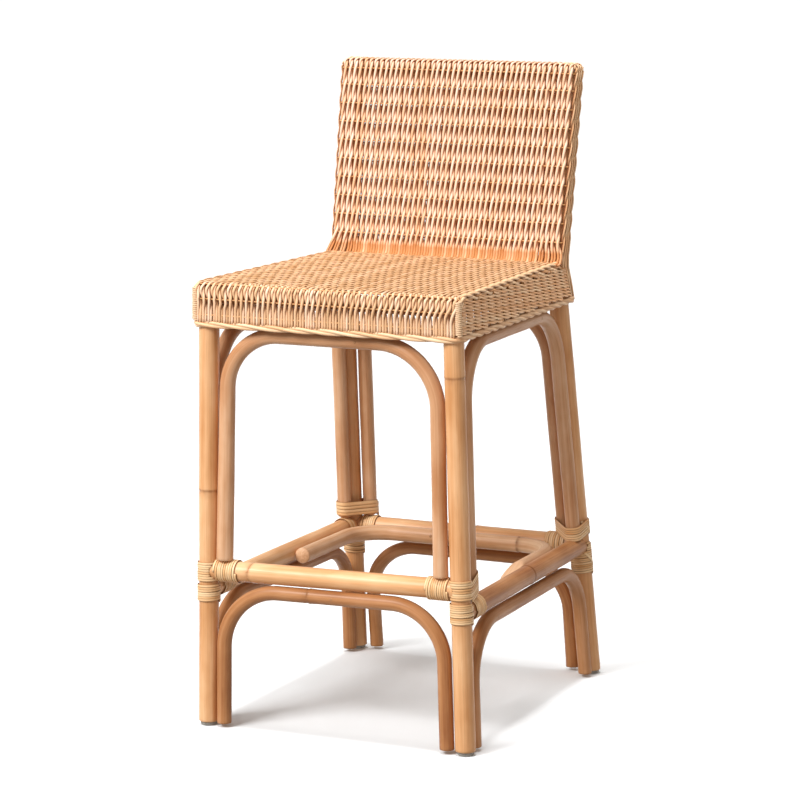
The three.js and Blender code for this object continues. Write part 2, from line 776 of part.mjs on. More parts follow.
for (const { word, sign } of SIDES) {
  const side = sideStretcher(sign);
  const sideCutter = pole(side, STRETCHER_R + GAP);
  const sideSleeveCutter = pole(side, STRETCHER_R + 2 * GAP + BINDING + 0.2);
  const rearSleeveCutter = pole(rearStretcher, REAR_STRETCHER_R + 2 * GAP + BINDING + 0.2);
  const rise = word === 'right' ? 10 : 0;
  const dip = word === 'right' ? -5 : 0;
  const frontLeg = (z) => frontLegAt(sign, z);
  const rearLeg = (z) => rearLegAt(sign, z);

  const frontHoopLimb = { at: (z) => beside(frontLegAt(sign, z), 1.6, 26.6), radius: UPPER_ARCH_R };
  const upperBand = uprightBand(frontLeg, [frontHoopLimb], LEG_R, 221 + rise, 248 + rise);
  addPiece(
    `binding_front_leg_upper_${word}`,
    cut(upperBand, [stretcherCutters.front, sideSleeveCutter]),
    'binding'
  );

  const lowerBand = uprightBand(frontLeg, [], LEG_R, 192 + rise / 2, 218.4 + rise / 2);
  addPiece(
    `binding_front_leg_lower_${word}`,
    cut(lowerBand, [sideCutter, stretcherCutters.front]),
    'binding'
  );

  const frontSpan = word === 'left' ? [-182, -146.6] : [138, 182];
  const [from, to] = frontSpan.map((x) => fractionAt(frontStretcher, 'x', x));
  addPiece(
    `binding_stretcher_front_${word}`,
    poleBand(frontStretcher, STRETCHER_R, from, to),
    'binding'
  );

  const sideFrom = fractionAt(side, 'y', -217.5);
  const sideTo = fractionAt(side, 'y', -180);
  addPiece(
    `binding_side_stretcher_${word}`,
    poleBand(side, STRETCHER_R, sideFrom, sideTo),
    'binding'
  );

  if (word === 'left') {
    const endFrom = fractionAt(side, 'y', 206);
    const endTo = fractionAt(side, 'y', 229.5);
    addPiece(
      'binding_side_stretcher_rear_left',
      cut(poleBand(side, STRETCHER_R, endFrom, endTo), [stretcherCutters.rear]),
      'binding'
    );
  }

  const group = [
    { at: (z) => beside(rearLegAt(sign, z), 1.5, -27), radius: UPPER_ARCH_R + 0.2 },
    { at: (z) => beside(rearLegAt(sign, z), -27, 7.5), radius: UPPER_ARCH_R + 0.2 },
  ];
  const groupBand = uprightBand(rearLeg, group, REAR_LEG_R + 0.2, 227 + dip, 255 + dip);
  addPiece(
    `binding_rear_group_${word}`,
    cut(groupBand, [sideCutter, rearSleeveCutter]),
    'binding'
  );

  const rearSpan = word === 'left' ? [-175, -146] : [138.6, 175];
  const [rearFrom, rearTo] = rearSpan.map((x) => fractionAt(rearStretcher, 'x', x));
  addPiece(
    `binding_stretcher_rear_${word}`,
    poleBand(rearStretcher, REAR_STRETCHER_R, rearFrom, rearTo),
    'binding'
  );

  const legBand = uprightBand(rearLeg, [], REAR_LEG_R, 163, 216);
  addPiece(
    `binding_rear_leg_${word}`,
    cut(legBand, [sideCutter, stretcherCutters.rear]),
    'binding'
  );
}

export default stool;
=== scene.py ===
"""Looks of the counter-height rattan stool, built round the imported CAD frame.

Lengths are millimetres in the legs' own layout, as in the CAD source; `to_frame` turns them into
the row frame in metres. Every pole, hoop, strip and woven strand is a real closed tube.
"""

import math

import bpy
import numpy as np
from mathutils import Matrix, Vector

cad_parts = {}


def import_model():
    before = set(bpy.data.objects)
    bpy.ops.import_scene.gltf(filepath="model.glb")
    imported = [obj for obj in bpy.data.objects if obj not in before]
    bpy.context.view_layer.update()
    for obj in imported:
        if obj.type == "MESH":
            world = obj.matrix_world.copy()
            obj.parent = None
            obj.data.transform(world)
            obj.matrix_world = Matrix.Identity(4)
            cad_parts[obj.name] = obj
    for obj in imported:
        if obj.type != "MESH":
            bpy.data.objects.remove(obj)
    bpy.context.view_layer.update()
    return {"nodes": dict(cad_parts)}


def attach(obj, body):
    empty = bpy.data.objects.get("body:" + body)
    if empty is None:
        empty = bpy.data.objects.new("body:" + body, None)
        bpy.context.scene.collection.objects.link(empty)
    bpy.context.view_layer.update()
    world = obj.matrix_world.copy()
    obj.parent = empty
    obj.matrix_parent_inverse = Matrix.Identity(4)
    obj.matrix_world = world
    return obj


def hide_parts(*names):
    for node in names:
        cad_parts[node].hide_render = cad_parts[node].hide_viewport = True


# ---------------------------------------------------------------- driving dimensions

# The layout has y = 0 near the seat's middle; the row frame's origin lies ORIGIN_Y behind it.
ORIGIN_Y = 15.9
MM = 0.001

# Poles, hoops and brace: radii, heights and the radii of their bends.
LEG_R = 14.8
REAR_LEG_R = 15.0
POLE_FOOT = 5.5
FRONT_LEG_TOP = 648.0
BACK_POST_TOP = 940.0
BACK_BEND_Z = 643.0
BACK_BEND_RADIUS = 170.0
STRETCHER_R = 14.8
REAR_STRETCHER_R = 14.5
UPPER_ARCH_R = 11.2
LOWER_ARCH_R = 10.8
ARCH_BEND = 81.0
UPPER_WIDE_BEND = 92.0
LOWER_LEFT_BEND = 90.0
UPPER_ARCH_Z = 584.8
BRACE_R = 12.2
BRACE_Z = 207.5
BRACE_BEND = 62.0
BRACE_END_Y = 12.0
SHAVE_LOW = 200.5
SHAVE_ANGLE = 0.33
SHAVE_START_Y = 8.0
SHAVE_END_Y = 62.0
JOINT_GAP = 0.35
BEVEL = 0.9

# The seat: a slab that narrows towards the back; STAKE_PITCH is the spacing of its cross stakes.
SEAT_TOP = 660.0
SEAT_FRONT = -267.0
SEAT_REAR = 211.0
BORDER_TOP = 604.0
SEAT_ROLL = 12.0
FRONT_HALF = {"low": 210.6, "high": 209.0}
REAR_HALF = {"low": 201.0, "high": 187.0}
SEAT_COLUMNS = 47
STAKE_PITCH = 28.1

# The back: two woven faces BACK_DEPTH apart that lean by BACK_LEAN.
BACK_TOP = 955.0
BACK_HALF = 192.5
BACK_FLARE = 3.5
BACK_LOW_FLARE = 5.5
BACK_DEPTH = 42.0
BACK_FRONT = 161.3
BACK_LEAN = 0.166
BACK_TUCK = 7.7
BACK_COLUMNS = 44
BACK_TOP_ROLL = 10.0
LOWEST_BACK_STAKE = 688.0
BACK_STAKES = 9
TOP_BACK_STAKE = 938.0
REAR_STAKE_DROP = 7.0
BACK_INSET = 5.5
BACK_POST_EDGE = 158.0
BACK_ROLL_START = 941.0

# Woven strands: half sizes of a strand's section, and how a twined pair swings about its axis.
# TWINE_LEAD makes a pair cross just below its stake, TWINE_SNAP below 1 makes it cross quickly.
STRAND_WIDE = 2.2
STRAND_THICK = 1.6
STAKE_R = 1.2
TWINE_SWING = 1.85
TWINE_LEAD = 0.14
TWINE_SNAP = 0.6
TWINE_DEPTH = 1.65
TWINE_AXIS = 3.3

SIDES = {"left": -1, "right": 1}


def to_frame(points):
    """Layout millimetres to the row frame in metres."""
    moved = np.array(points, float)
    moved[..., 1] -= ORIGIN_Y
    return moved * MM


def unit(vectors):
    vectors = np.asarray(vectors, float)
    return vectors / np.linalg.norm(vectors, axis=-1, keepdims=True)


def lerp(a, b, t):
    return a + (b - a) * t


def smooth(t):
    t = np.clip(t, 0, 1)
    return t * t * (3 - 2 * t)


# ---------------------------------------------------------------- mesh building


class Bundle:
    """Collects closed tubes and writes them as one mesh.

    Each vertex carries `lie`, its place in the straightened tube in metres, so grain follows the
    bends, `tint`, its tone, `ring`, which is 1 at a cane's growth rings, and a painted light value,
    which is 1 where the surface faces out and falls towards 0 where it faces into the weave or lies
    deep in it: the strand materials paint shade there, as painted shade.
    """

    def __init__(self):
        self.points = []
        self.faces = []
        self.lie = []
        self.tint = []
        self.ring = []
        self.painted_light = []
        self.slots = []
        self.count = 0

    def rings(self, grid, lie, tint, ring=None, closed=False, slot=0, painted_light=None):
        """Joins a grid of rings (rings x sides x 3) into one closed body."""
        steps, sides = grid.shape[:2]
        base = self.count
        index = base + np.arange(steps * sides).reshape(steps, sides)
        lower = index if closed else index[:-1]
        upper = np.roll(index, -1, axis=0) if closed else index[1:]
        quads = np.stack(
            [lower, np.roll(lower, -1, axis=1), np.roll(upper, -1, axis=1), upper], axis=-1
        ).reshape(-1, 4)
        faces = quads.tolist()
        if not closed:
            faces.append(index[0][::-1].tolist())
            faces.append(index[-1].tolist())
        self.faces.extend(faces)
        self.slots.extend([slot] * len(faces))
        self.points.append(grid.reshape(-1, 3))
        self.lie.append(lie.reshape(-1, 3))
        self.tint.append(np.repeat(np.broadcast_to(tint, steps), sides))
        self.ring.append(np.zeros(steps * sides) if ring is None else np.repeat(ring, sides))
        self.painted_light.append(np.ones(steps * sides) if painted_light is None else painted_light.ravel())
        self.count += steps * sides

    def tube(self, centre, outward, wide, thick, tint, sides=6, square=1.0, closed=False, shift=0.0,
             sunk_shade=0.0):
        """A strand or strip: its section is `wide` across and `thick` along `outward` (half sizes).

        The last argument says how far into the weave it lies there, 0 to 1; the strand is painted
        darker there, as painted shade."""
        ahead = np.roll(centre, -1, axis=0) - np.roll(centre, 1, axis=0)
        if not closed:
            ahead[0] = centre[1] - centre[0]
            ahead[-1] = centre[-1] - centre[-2]
        ahead = unit(ahead)
        across = unit(np.cross(outward, ahead))
        up = np.cross(ahead, across)
        angle = (np.arange(sides) + 0.5) * 2 * np.pi / sides
        cos = np.sign(np.cos(angle)) * np.abs(np.cos(angle)) ** square
        sin = np.sign(np.sin(angle)) * np.abs(np.sin(angle)) ** square
        wide = np.broadcast_to(wide, len(centre))[:, None, None]
        thick = np.broadcast_to(thick, len(centre))[:, None, None]
        grid = (
            centre[:, None]
            + across[:, None] * wide * cos[None, :, None]
            + up[:, None] * thick * sin[None, :, None]
        )
        run = np.concatenate([[0], np.cumsum(np.linalg.norm(np.diff(centre, axis=0), axis=1))])
        lie = np.stack(
            [
                (wide[..., 0] * cos[None, :]) * MM,
                (thick[..., 0] * sin[None, :]) * MM,
                np.repeat(run[:, None] * MM + shift, sides, axis=1),
            ],
            axis=-1,
        )
        # Painted shade: the side of the section that faces into the weave, and any part lying deep in
        # it, gets a lower painted light value and so takes the crevice shade colour.
        painted_light = 0.5 + 0.5 * sin[None, :] - np.broadcast_to(sunk_shade, len(centre))[:, None]
        self.rings(grid, lie, tint, closed=closed, painted_light=painted_light)

    def build(self, name, materials, body="root", replaces=()):
        """Writes the collected tubes as one mesh that rides on `body`."""
        mesh = bpy.data.meshes.new(name)
        mesh.from_pydata(to_frame(np.concatenate(self.points)), [], self.faces)
        mesh.polygons.foreach_set("use_smooth", [True] * len(self.faces))
        mesh.polygons.foreach_set("material_index", self.slots)
        lie = mesh.attributes.new("lie", "FLOAT_VECTOR", "POINT")
        lie.data.foreach_set("vector", np.concatenate(self.lie).astype(np.float32).ravel())
        for word, values in (("tint", self.tint), ("ring", self.ring), ("painted_light", self.painted_light)):
            layer = mesh.attributes.new(word, "FLOAT", "POINT")
            layer.data.foreach_set("value", np.concatenate(values).astype(np.float32))
        for material in materials:
            mesh.materials.append(material)
        mesh.update()
        piece = bpy.data.objects.new(name, mesh)
        bpy.context.scene.collection.objects.link(piece)
        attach(piece, body)
        if replaces:
            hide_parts(*replaces)


# ---------------------------------------------------------------- centrelines


def bent_line(corners, radii, arc_step=3.0):
    """Straight runs between the corners, each inner corner bent to its own radius."""
    corners = [np.array(c, float) for c in corners]
    points = [corners[0]]
    for i, radius in enumerate(radii):
        corner = corners[i + 1]
        inward = unit(corners[i] - corner)
        onward = unit(corners[i + 2] - corner)
        turn = math.pi - math.acos(float(np.clip(inward @ onward, -1, 1)))
        centre = corner + unit(inward + onward) * radius / math.cos(turn / 2)
        arm = corner + inward * radius * math.tan(turn / 2) - centre
        steps = max(2, math.ceil(radius * turn / arc_step))
        for k in range(steps + 1):
            angle = turn * k / steps
            points.append(centre + arm * math.cos(angle) - inward * radius * math.sin(angle))
    points.append(corners[-1])
    return np.array(points)


def run_of(points):
    """The distance along a line at each of its points."""
    return np.concatenate([[0], np.cumsum(np.linalg.norm(np.diff(points, axis=0), axis=1))])


def along(points, at):
    """Points at the given distances along a line of points."""
    run = run_of(points)
    return np.stack([np.interp(at, run, points[:, k]) for k in range(points.shape[1])], axis=-1)


def front_leg_at(side, z):
    """A front leg's axis at height z: it leans inwards and forwards as it rises."""
    return np.array([side * (205.1 - 0.02383 * z), -230.8 - 0.02349 * z, z])


def rear_leg_at(side, z):
    """A rear leg's axis at height z, up to its bend: it leans inwards and forwards too."""
    return np.array([side * (201.1 - 0.0384 * z), 284.5 - 0.1614 * z, z])


def back_post_at(side, z):
    """The rear leg's axis above its bend, where it leans backwards as the post of the back."""
    return np.array([side * (176.25 - 0.008 * (z - 647)), 182.3 + BACK_LEAN * (z - SEAT_TOP), z])


def beside(point, outward, rearward):
    """A place next to a point on a leg."""
    side = np.sign(point[0])
    return point + np.array([side * outward, rearward, 0])


# ---------------------------------------------------------------- poles


def transported(points):
    """Section axes carried along a line without twisting."""
    ahead = unit(np.gradient(points, axis=0))
    start = np.array([0.0, 0.0, 1.0]) if abs(ahead[0][2]) < 0.7 else np.array([1.0, 0.0, 0.0])
    across = [unit(np.cross(start, ahead[0]))]
    for direction in ahead[1:]:
        previous = across[-1]
        across.append(unit(previous - direction * (previous @ direction)))
    across = np.array(across)
    return ahead, across, np.cross(ahead, across)


def growth_rings(run, places):
    """How far a cane's surface stands up at its growth rings, and how dark it is there."""
    height = np.zeros_like(run)
    shade = np.zeros_like(run)
    for place in places:
        off = run - place
        height += 0.5 * np.exp(-((off / 1.5) ** 2)) + 0.3 * np.exp(-(((off - 5) / 4.0) ** 2))
        height -= 0.3 * np.exp(-(((off + 3.2) / 1.6) ** 2))
        shade += np.exp(-(((off + 1.2) / 2.0) ** 2)) + 0.35 * np.exp(-(((off + 5) / 5.0) ** 2))
    return height, np.clip(shade, 0, 1)


def cope(points, ahead, axis, direction, radius, sign):
    """How far each point slides along `ahead` to meet a round pole, on the near side of its axis."""
    offset = points - axis
    flat = offset - (offset @ direction)[:, None] * direction
    slope = ahead - (ahead @ direction) * direction
    a = slope @ slope
    b = flat @ slope
    c = np.einsum("ij,ij->i", flat, flat) - radius * radius
    inside = np.maximum(b * b - a * c, 0)
    return (-b + sign * np.sqrt(inside)) / a


def stations(length, rings, step):
    """Where a pole gets its rings of vertices: closer together at its ends and growth rings."""
    places = [0, BEVEL, length - BEVEL, length]
    places += list(np.linspace(4, length - 4, max(2, int(length / step))))
    for ring in rings:
        places += [ring + d for d in (-5, -3, -1.5, 0, 1.5, 3, 6)]
    return np.unique(np.round(np.clip(places, 0, length), 3))


def uneven_radii(run, angle, radius, height, rng):
    """A cane's radius at each vertex: it swells, is slightly oval and stands up at its rings."""
    phase = rng.uniform(0, 2 * np.pi, 4)
    swell = 0.10 * np.sin(run / 47.0 + phase[0]) + 0.07 * np.sin(run / 19.0 + phase[1])
    oval = 0.10 * np.cos(2 * angle[None] + phase[2] + run[:, None] / 160.0)
    return radius - 0.12 + swell[:, None] + oval + height[:, None]


def slide_to_copes(grid, ahead, copes, share):
    """Slides a pole's end rings along it until they meet the round poles given in `copes`."""
    first = cope(grid[0], ahead[0], *copes[0], 1.0)
    last = cope(grid[-1], ahead[-1], *copes[1], -1.0)
    slide = first[None] * (1 - share) ** 6 + last[None] * share**6
    grid += ahead[:, None] * slide[..., None]


def add_pole(bundle, line, radius, rng, rings=(), sides=28, step=8.0, level_foot=False,
             copes=None, thicker_start=0.0):
    """A cane pole with growth rings, slight unevenness and sawn ends with a small bevel.

    `thicker_start` is how much stouter the cane grew at its first end."""
    length = run_of(line)[-1]
    run = stations(length, rings, step)
    centre = along(line, run)
    ahead, across, up = transported(centre)
    height, shade = growth_rings(run, rings)
    angle = np.arange(sides) * 2 * np.pi / sides
    radii = uneven_radii(run, angle, radius, height, rng)
    radii += thicker_start * (1 - smooth(run / 420.0))[:, None]
    if copes is None:
        radii[(run < 0.5 * BEVEL) | (run > length - 0.5 * BEVEL)] -= BEVEL
    offset = (
        across[:, None] * np.cos(angle)[None, :, None] + up[:, None] * np.sin(angle)[None, :, None]
    ) * radii[..., None]
    grid = centre[:, None] + offset
    if level_foot:
        for i in range(2):
            lift = -offset[i, :, 2] / ahead[i, 2]
            grid[i] += ahead[i] * lift[:, None]
    if copes is not None:
        slide_to_copes(grid, ahead, copes, (run / length)[:, None])
    lie = np.stack(
        [
            np.broadcast_to(np.cos(angle) * radius * MM, radii.shape),
            np.broadcast_to(np.sin(angle) * radius * MM, radii.shape),
            np.broadcast_to((run * MM)[:, None], radii.shape) + rng.uniform(0, 20),
        ],
        axis=-1,
    )
    bundle.rings(grid, lie, rng.uniform(0, 1), ring=shade)


def add_plug(bundle, point, facing, radius=2.6):
    """A nail hole filled flush with putty: a low round button in the pole's surface."""
    facing = unit(facing)
    helper = np.array([0.0, 0.0, 1.0]) if abs(facing[2]) < 0.8 else np.array([1.0, 0.0, 0.0])
    u = unit(np.cross(helper, facing))
    v = np.cross(facing, u)
    angle = np.arange(12) * 2 * np.pi / 12
    rim = u[None] * np.cos(angle)[:, None] + v[None] * np.sin(angle)[:, None]
    profile = [(radius * 0.9, -1.6), (radius, -0.1), (radius * 0.8, 0.12), (radius * 0.35, 0.18)]
    grid = np.array([point + rim * r + facing * h for r, h in profile])
    bundle.rings(grid, (grid - point) * MM, 0.5, slot=1)


# ---------------------------------------------------------------- materials


class Recipe:
    """A short way to write a node material."""

    def __init__(self, name):
        self.material = bpy.data.materials.new(name)
        self.material.use_nodes = True
        self.tree = self.material.node_tree
        self.shader = self.tree.nodes["Principled BSDF"]

    def node(self, kind, inputs=None, **settings):
        made = self.tree.nodes.new("ShaderNode" + kind)
        for key, value in settings.items():
            setattr(made, key, value)
        for key, value in (inputs or {}).items():
            self.feed(made.inputs[key], value)
        return made

    def feed(self, socket, value):
        if isinstance(value, bpy.types.NodeSocket):
            self.tree.links.new(value, socket)
        else:
            socket.default_value = value

    def set(self, **values):
        for key, value in values.items():
            self.feed(self.shader.inputs[key.replace("_", " ")], value)

    def attribute(self, name, output):
        return self.node("Attribute", attribute_name=name).outputs[output]

    def noise(self, vector, scale, detail=3.0, roughness=0.55):
        made = self.node("TexNoise", {"Vector": vector, "Scale": scale, "Detail": detail,
                                      "Roughness": roughness})
        return made.outputs["Fac"]

    def stretch(self, vector, scale):
        return self.node("Mapping", {"Vector": vector, "Scale": scale}).outputs["Vector"]

    def ramp(self, factor, stops):
        made = self.node("ValToRGB", {"Fac": factor})
        elements = made.color_ramp.elements
        while len(elements) < len(stops):
            elements.new(0.5)
        for element, (place, colour) in zip(elements, stops):
            element.position = place
            element.color = colour
        return made.outputs["Color"]

    def mix(self, factor, a, b, how="MIX"):
        made = self.node("Mix", data_type="RGBA", blend_type=how)
        self.feed(made.inputs["Factor"], factor)
        self.feed(made.inputs["A"], a)
        self.feed(made.inputs["B"], b)
        return made.outputs["Result"]

    def math(self, how, a, b=0.0, c=0.0):
        made = self.node("Math", operation=how)
        for socket, value in zip(made.inputs, (a, b, c)):
            self.feed(socket, value)
        return made.outputs["Value"]

    def span(self, value, low, high, to_low, to_high):
        made = self.node("MapRange", {"Value": value, "From Min": low, "From Max": high,
                                      "To Min": to_low, "To Max": to_high})
        return made.outputs["Result"]

    def bump(self, height, strength, distance):
        made = self.node("Bump", {"Height": height, "Strength": strength, "Distance": distance})
        self.feed(self.shader.inputs["Normal"], made.outputs["Normal"])


def linear(hex_colour):
    """A linear RGBA colour from a hex string."""
    channels = [int(hex_colour[i:i + 2], 16) / 255 for i in (0, 2, 4)]
    straightened = [c / 12.92 if c <= 0.04045 else ((c + 0.055) / 1.055) ** 2.4 for c in channels]
    return (*straightened, 1.0)


def cane_material(name, pale, middle, deep, ring_colour, on_tubes=True, gloss=0.34):
    """Peeled, sanded and lacquered cane: long pores, cloudy tone, darker growth rings.

    Tubes carry `lie` and `ring`. The plain CAD rails don't: they use their own space."""
    r = Recipe(name)
    if on_tubes:
        place = r.attribute("lie", "Vector")
    else:
        place = r.node("TexCoord").outputs["Object"]
    pores = r.noise(r.stretch(place, (900, 900, 18)), 1.0, 4.0, 0.6)
    streaks = r.noise(r.stretch(place, (190, 190, 3.5)), 1.0, 3.0, 0.55)
    clouds = r.noise(r.stretch(place, (22, 22, 9)), 1.0, 3.0, 0.5)
    tone = r.math("MULTIPLY_ADD", streaks, 0.42, r.math("MULTIPLY", clouds, 0.58))
    colour = r.ramp(tone, [(0.36, linear(deep)), (0.5, linear(middle)), (0.62, linear(pale))])
    fleck = r.ramp(pores, [(0.30, (0.55, 0.42, 0.30, 1)), (0.47, (1, 1, 1, 1))])
    colour = r.mix(0.28, colour, fleck, "MULTIPLY")
    if on_tubes:
        ring = r.attribute("ring", "Fac")
        blotch = r.noise(r.stretch(place, (130, 130, 60)), 1.0, 2.0)
        patchy = r.math("MULTIPLY", ring, r.span(blotch, 0.3, 0.7, 0.25, 0.85))
        colour = r.mix(patchy, colour, linear(ring_colour))
    r.set(Base_Color=colour)
    r.set(Roughness=r.span(pores, 0.3, 0.7, gloss + 0.12, gloss - 0.02))
    r.set(Specular_IOR_Level=0.28)
    r.set(Coat_Weight=0.05, Coat_Roughness=0.25)
    r.bump(r.math("MULTIPLY_ADD", pores, 0.7, streaks), 0.14, 0.0003)
    return r.material


def strand_material(name, pale, middle, deep, amber, crevice_shade, gloss=0.46, reach=(0.2, 0.98)):
    """Round core strands: each has its own tone, with faint fibres along its length.

    Where the painted light value is below the first number of `reach` the strand takes the crevice
    shade colour: painted shade on its inner side and deep in the weave."""
    r = Recipe(name)
    lie = r.attribute("lie", "Vector")
    tint = r.attribute("tint", "Fac")
    fibres = r.noise(r.stretch(lie, (1500, 1500, 60)), 1.0, 3.0, 0.6)
    drift = r.noise(r.stretch(lie, (40, 40, 14)), 1.0, 2.0)
    tone = r.math("MULTIPLY_ADD", drift, 0.6, r.math("MULTIPLY", tint, 0.4))
    colour = r.ramp(tone, [(0.0, linear(amber)), (0.28, linear(deep)), (0.5, linear(middle)),
                           (0.75, linear(pale))])
    fleck = r.ramp(fibres, [(0.32, (0.72, 0.6, 0.48, 1)), (0.5, (1, 1, 1, 1))])
    colour = r.mix(0.3, colour, fleck, "MULTIPLY")
    # Painted shade: the crevice shade colour takes over where the painted light value is low.
    painted_light = r.attribute("painted_light", "Fac")
    colour = r.mix(r.span(painted_light, *reach, 0.0, 1.0), linear(crevice_shade), colour)
    r.set(Base_Color=colour)
    r.set(Roughness=r.span(fibres, 0.3, 0.7, gloss + 0.12, gloss))
    r.set(Specular_IOR_Level=0.35)
    r.set(Coat_Weight=0.05, Coat_Roughness=0.35)
    r.bump(fibres, 0.3, 0.00025)
    return r.material


def putty_material():
    """Dull filler in the nail holes."""
    r = Recipe("nail_putty")
    place = r.node("TexCoord").outputs["Object"]
    speck = r.noise(place, 900.0, 3.0)
    r.set(Base_Color=r.ramp(speck, [(0.35, linear("9a6a44")), (0.65, linear("b98658"))]))
    r.set(Roughness=r.span(speck, 0.3, 0.7, 0.5, 0.65))
    r.bump(speck, 0.3, 0.0002)
    return r.material


def glide_material():
    """Scuffed grey plastic."""
    r = Recipe("glide_plastic")
    place = r.node("TexCoord").outputs["Object"]
    grain = r.noise(place, 1400.0, 3.0)
    scuff = r.noise(place, 160.0, 4.0, 0.7)
    r.set(Base_Color=r.ramp(scuff, [(0.35, linear("77736d")), (0.65, linear("a29e97"))]))
    r.set(Roughness=r.span(grain, 0.3, 0.7, 0.42, 0.6))
    r.bump(r.math("ADD", grain, scuff), 0.25, 0.0003)
    return r.material


def floor_material():
    r = Recipe("studio_floor")
    place = r.node("TexCoord").outputs["Object"]
    r.set(Base_Color=r.ramp(r.noise(place, 3.0), [(0.3, (0.83, 0.85, 0.865, 1)),
                                                 (0.7, (0.85, 0.87, 0.885, 1))]))
    r.set(Roughness=0.9)
    return r.material


# ---------------------------------------------------------------- the pole frame


def straight(a, b):
    return np.array([a, b], float)


def build_legs(cane):
    """Front legs, and rear legs that bend back to become the posts of the back."""
    front_rings = {"left": (350.0,), "right": (540.0,)}
    rear_rings = {"left": (730.0,), "right": (760.0,)}
    for seed, (word, side) in enumerate(SIDES.items()):
        rng = np.random.default_rng(11 + seed)
        bundle = Bundle()
        line = straight(front_leg_at(side, POLE_FOOT), front_leg_at(side, FRONT_LEG_TOP))
        add_pole(bundle, line, LEG_R, rng, rings=front_rings[word], sides=36, level_foot=True)
        bundle.build(f"leg_front_{word}", [cane],
                     replaces=[f"front_leg_{word}"])
        bundle = Bundle()
        line = bent_line(
            [rear_leg_at(side, POLE_FOOT), rear_leg_at(side, BACK_BEND_Z),
             back_post_at(side, BACK_POST_TOP)],
            [BACK_BEND_RADIUS],
        )
        add_pole(bundle, line, REAR_LEG_R, rng, rings=rear_rings[word], sides=36, level_foot=True)
        bundle.build(f"leg_rear_{word}", [cane],
                     replaces=[f"rear_leg_{word}"])


# The stretchers' axes end on the legs' axes, at these heights. The front one slopes a little.
STRETCHER_ENDS = {
    "front": (front_leg_at(-1, 234.6), front_leg_at(1, 239.9)),
    "rear": (rear_leg_at(-1, 210.8), rear_leg_at(1, 210.8)),
    "left": (front_leg_at(-1, 207.0), rear_leg_at(-1, 209.9)),
    "right": (front_leg_at(1, 207.0), rear_leg_at(1, 209.9)),
}


def leg_axis(is_front, side):
    """A leg as a round pole for coping: a point on its axis, its direction and its radius."""
    at = front_leg_at if is_front else rear_leg_at
    radius = LEG_R if is_front else REAR_LEG_R
    return at(side, 200.0), unit(at(side, 300.0) - at(side, 200.0)), radius + 0.05


def build_stretchers(cane, brown_and_shaded):
    """The footrest ring: four straight poles coped round the legs."""
    ends = {
        "front": (leg_axis(True, -1), leg_axis(True, 1)),
        "rear": (leg_axis(False, -1), leg_axis(False, 1)),
        "left": (leg_axis(True, -1), leg_axis(False, -1)),
        "right": (leg_axis(True, 1), leg_axis(False, 1)),
    }
    rings = {"front": (69.0,), "rear": (214.0,), "left": (), "right": (258.0,)}
    for seed, (word, (a, b)) in enumerate(STRETCHER_ENDS.items()):
        bundle = Bundle()
        radius = REAR_STRETCHER_R if word == "rear" else STRETCHER_R
        add_pole(bundle, straight(a, b), radius, np.random.default_rng(31 + seed),
                 rings=rings[word], sides=36, copes=ends[word])
        # The right stretcher takes the darker brown cane as painted shade, for its side away from the
        # key lamp.
        tone = brown_and_shaded if word == "right" else cane
        bundle.build(f"stretcher_{word}_cane", [tone],
                     replaces=[f"stretcher_{word}"])


def brace_line():
    """The brace's U: it touches the side and rear stretchers from inside the footrest ring."""
    reach = STRETCHER_R + BRACE_R + JOINT_GAP + 0.15
    rear_y = rear_leg_at(1, 210.8)[1] - REAR_STRETCHER_R - BRACE_R - JOINT_GAP

    def arm(side, y):
        a, b = STRETCHER_ENDS["left" if side < 0 else "right"]
        x = lerp(a[0], b[0], (y - a[1]) / (b[1] - a[1]))
        return np.array([x - side * reach, y, BRACE_Z])

    corners = [arm(1, BRACE_END_Y), arm(1, rear_y), arm(-1, rear_y), arm(-1, BRACE_END_Y)]
    return bent_line(corners, [BRACE_BEND, BRACE_BEND])


def shave_brace(grid):
    """Planes the top of the brace's right end down to a slope of SHAVE_ANGLE radians."""
    slope = SHAVE_LOW + math.tan(SHAVE_ANGLE) * (grid[:, 1] - SHAVE_START_Y)
    shaved = (grid[:, 0] > 100) & (grid[:, 1] < SHAVE_END_Y)
    grid[shaved, 2] = np.minimum(grid[shaved, 2], slope[shaved])


def build_brace(cane, putty):
    """The U brace; its right end is shaved to a long slope where it dies away."""
    bundle = Bundle()
    rng = np.random.default_rng(41)
    line = brace_line()
    length = run_of(line)[-1]
    add_pole(bundle, line, BRACE_R, rng, rings=(250.0, length * 0.52), sides=28, step=5.0)
    shave_brace(bundle.points[0])
    for share, inward in ((0.36, (-1.0, 0, 0.3)), (0.56, (0, -1.0, 0.25)), (0.66, (1.0, 0, 0.3))):
        spot = along(line, np.array([length * share]))[0]
        add_plug(bundle, spot + unit(inward) * (BRACE_R - 0.15), inward)
    bundle.build("brace_cane", [cane, putty], replaces=["inner_brace"])


def limb(at, side, offset, foot_offset=None):
    """A hoop's upright limb beside a leg, by height. Its foot may stand off by other amounts."""

    def place(z):
        here = foot_offset if foot_offset and z == POLE_FOOT else offset
        return beside(at(side, z), *here)

    return place


def hoop(first, last, feet, shoulders, radii):
    """From one limb's foot over both shoulders to the other limb's foot."""
    return bent_line([first(feet[0]), first(shoulders[0]), last(shoulders[1]), last(feet[1])], radii)


def front_upper_limb(side):
    """This limb stands nearly upright on the front stretcher, beside the leg."""

    def place(z):
        leg = front_leg_at(side, z)
        return np.array([leg[0] - side * 28.4, -241.6 + 2.6 * (z - 256) / 329, z])

    return place


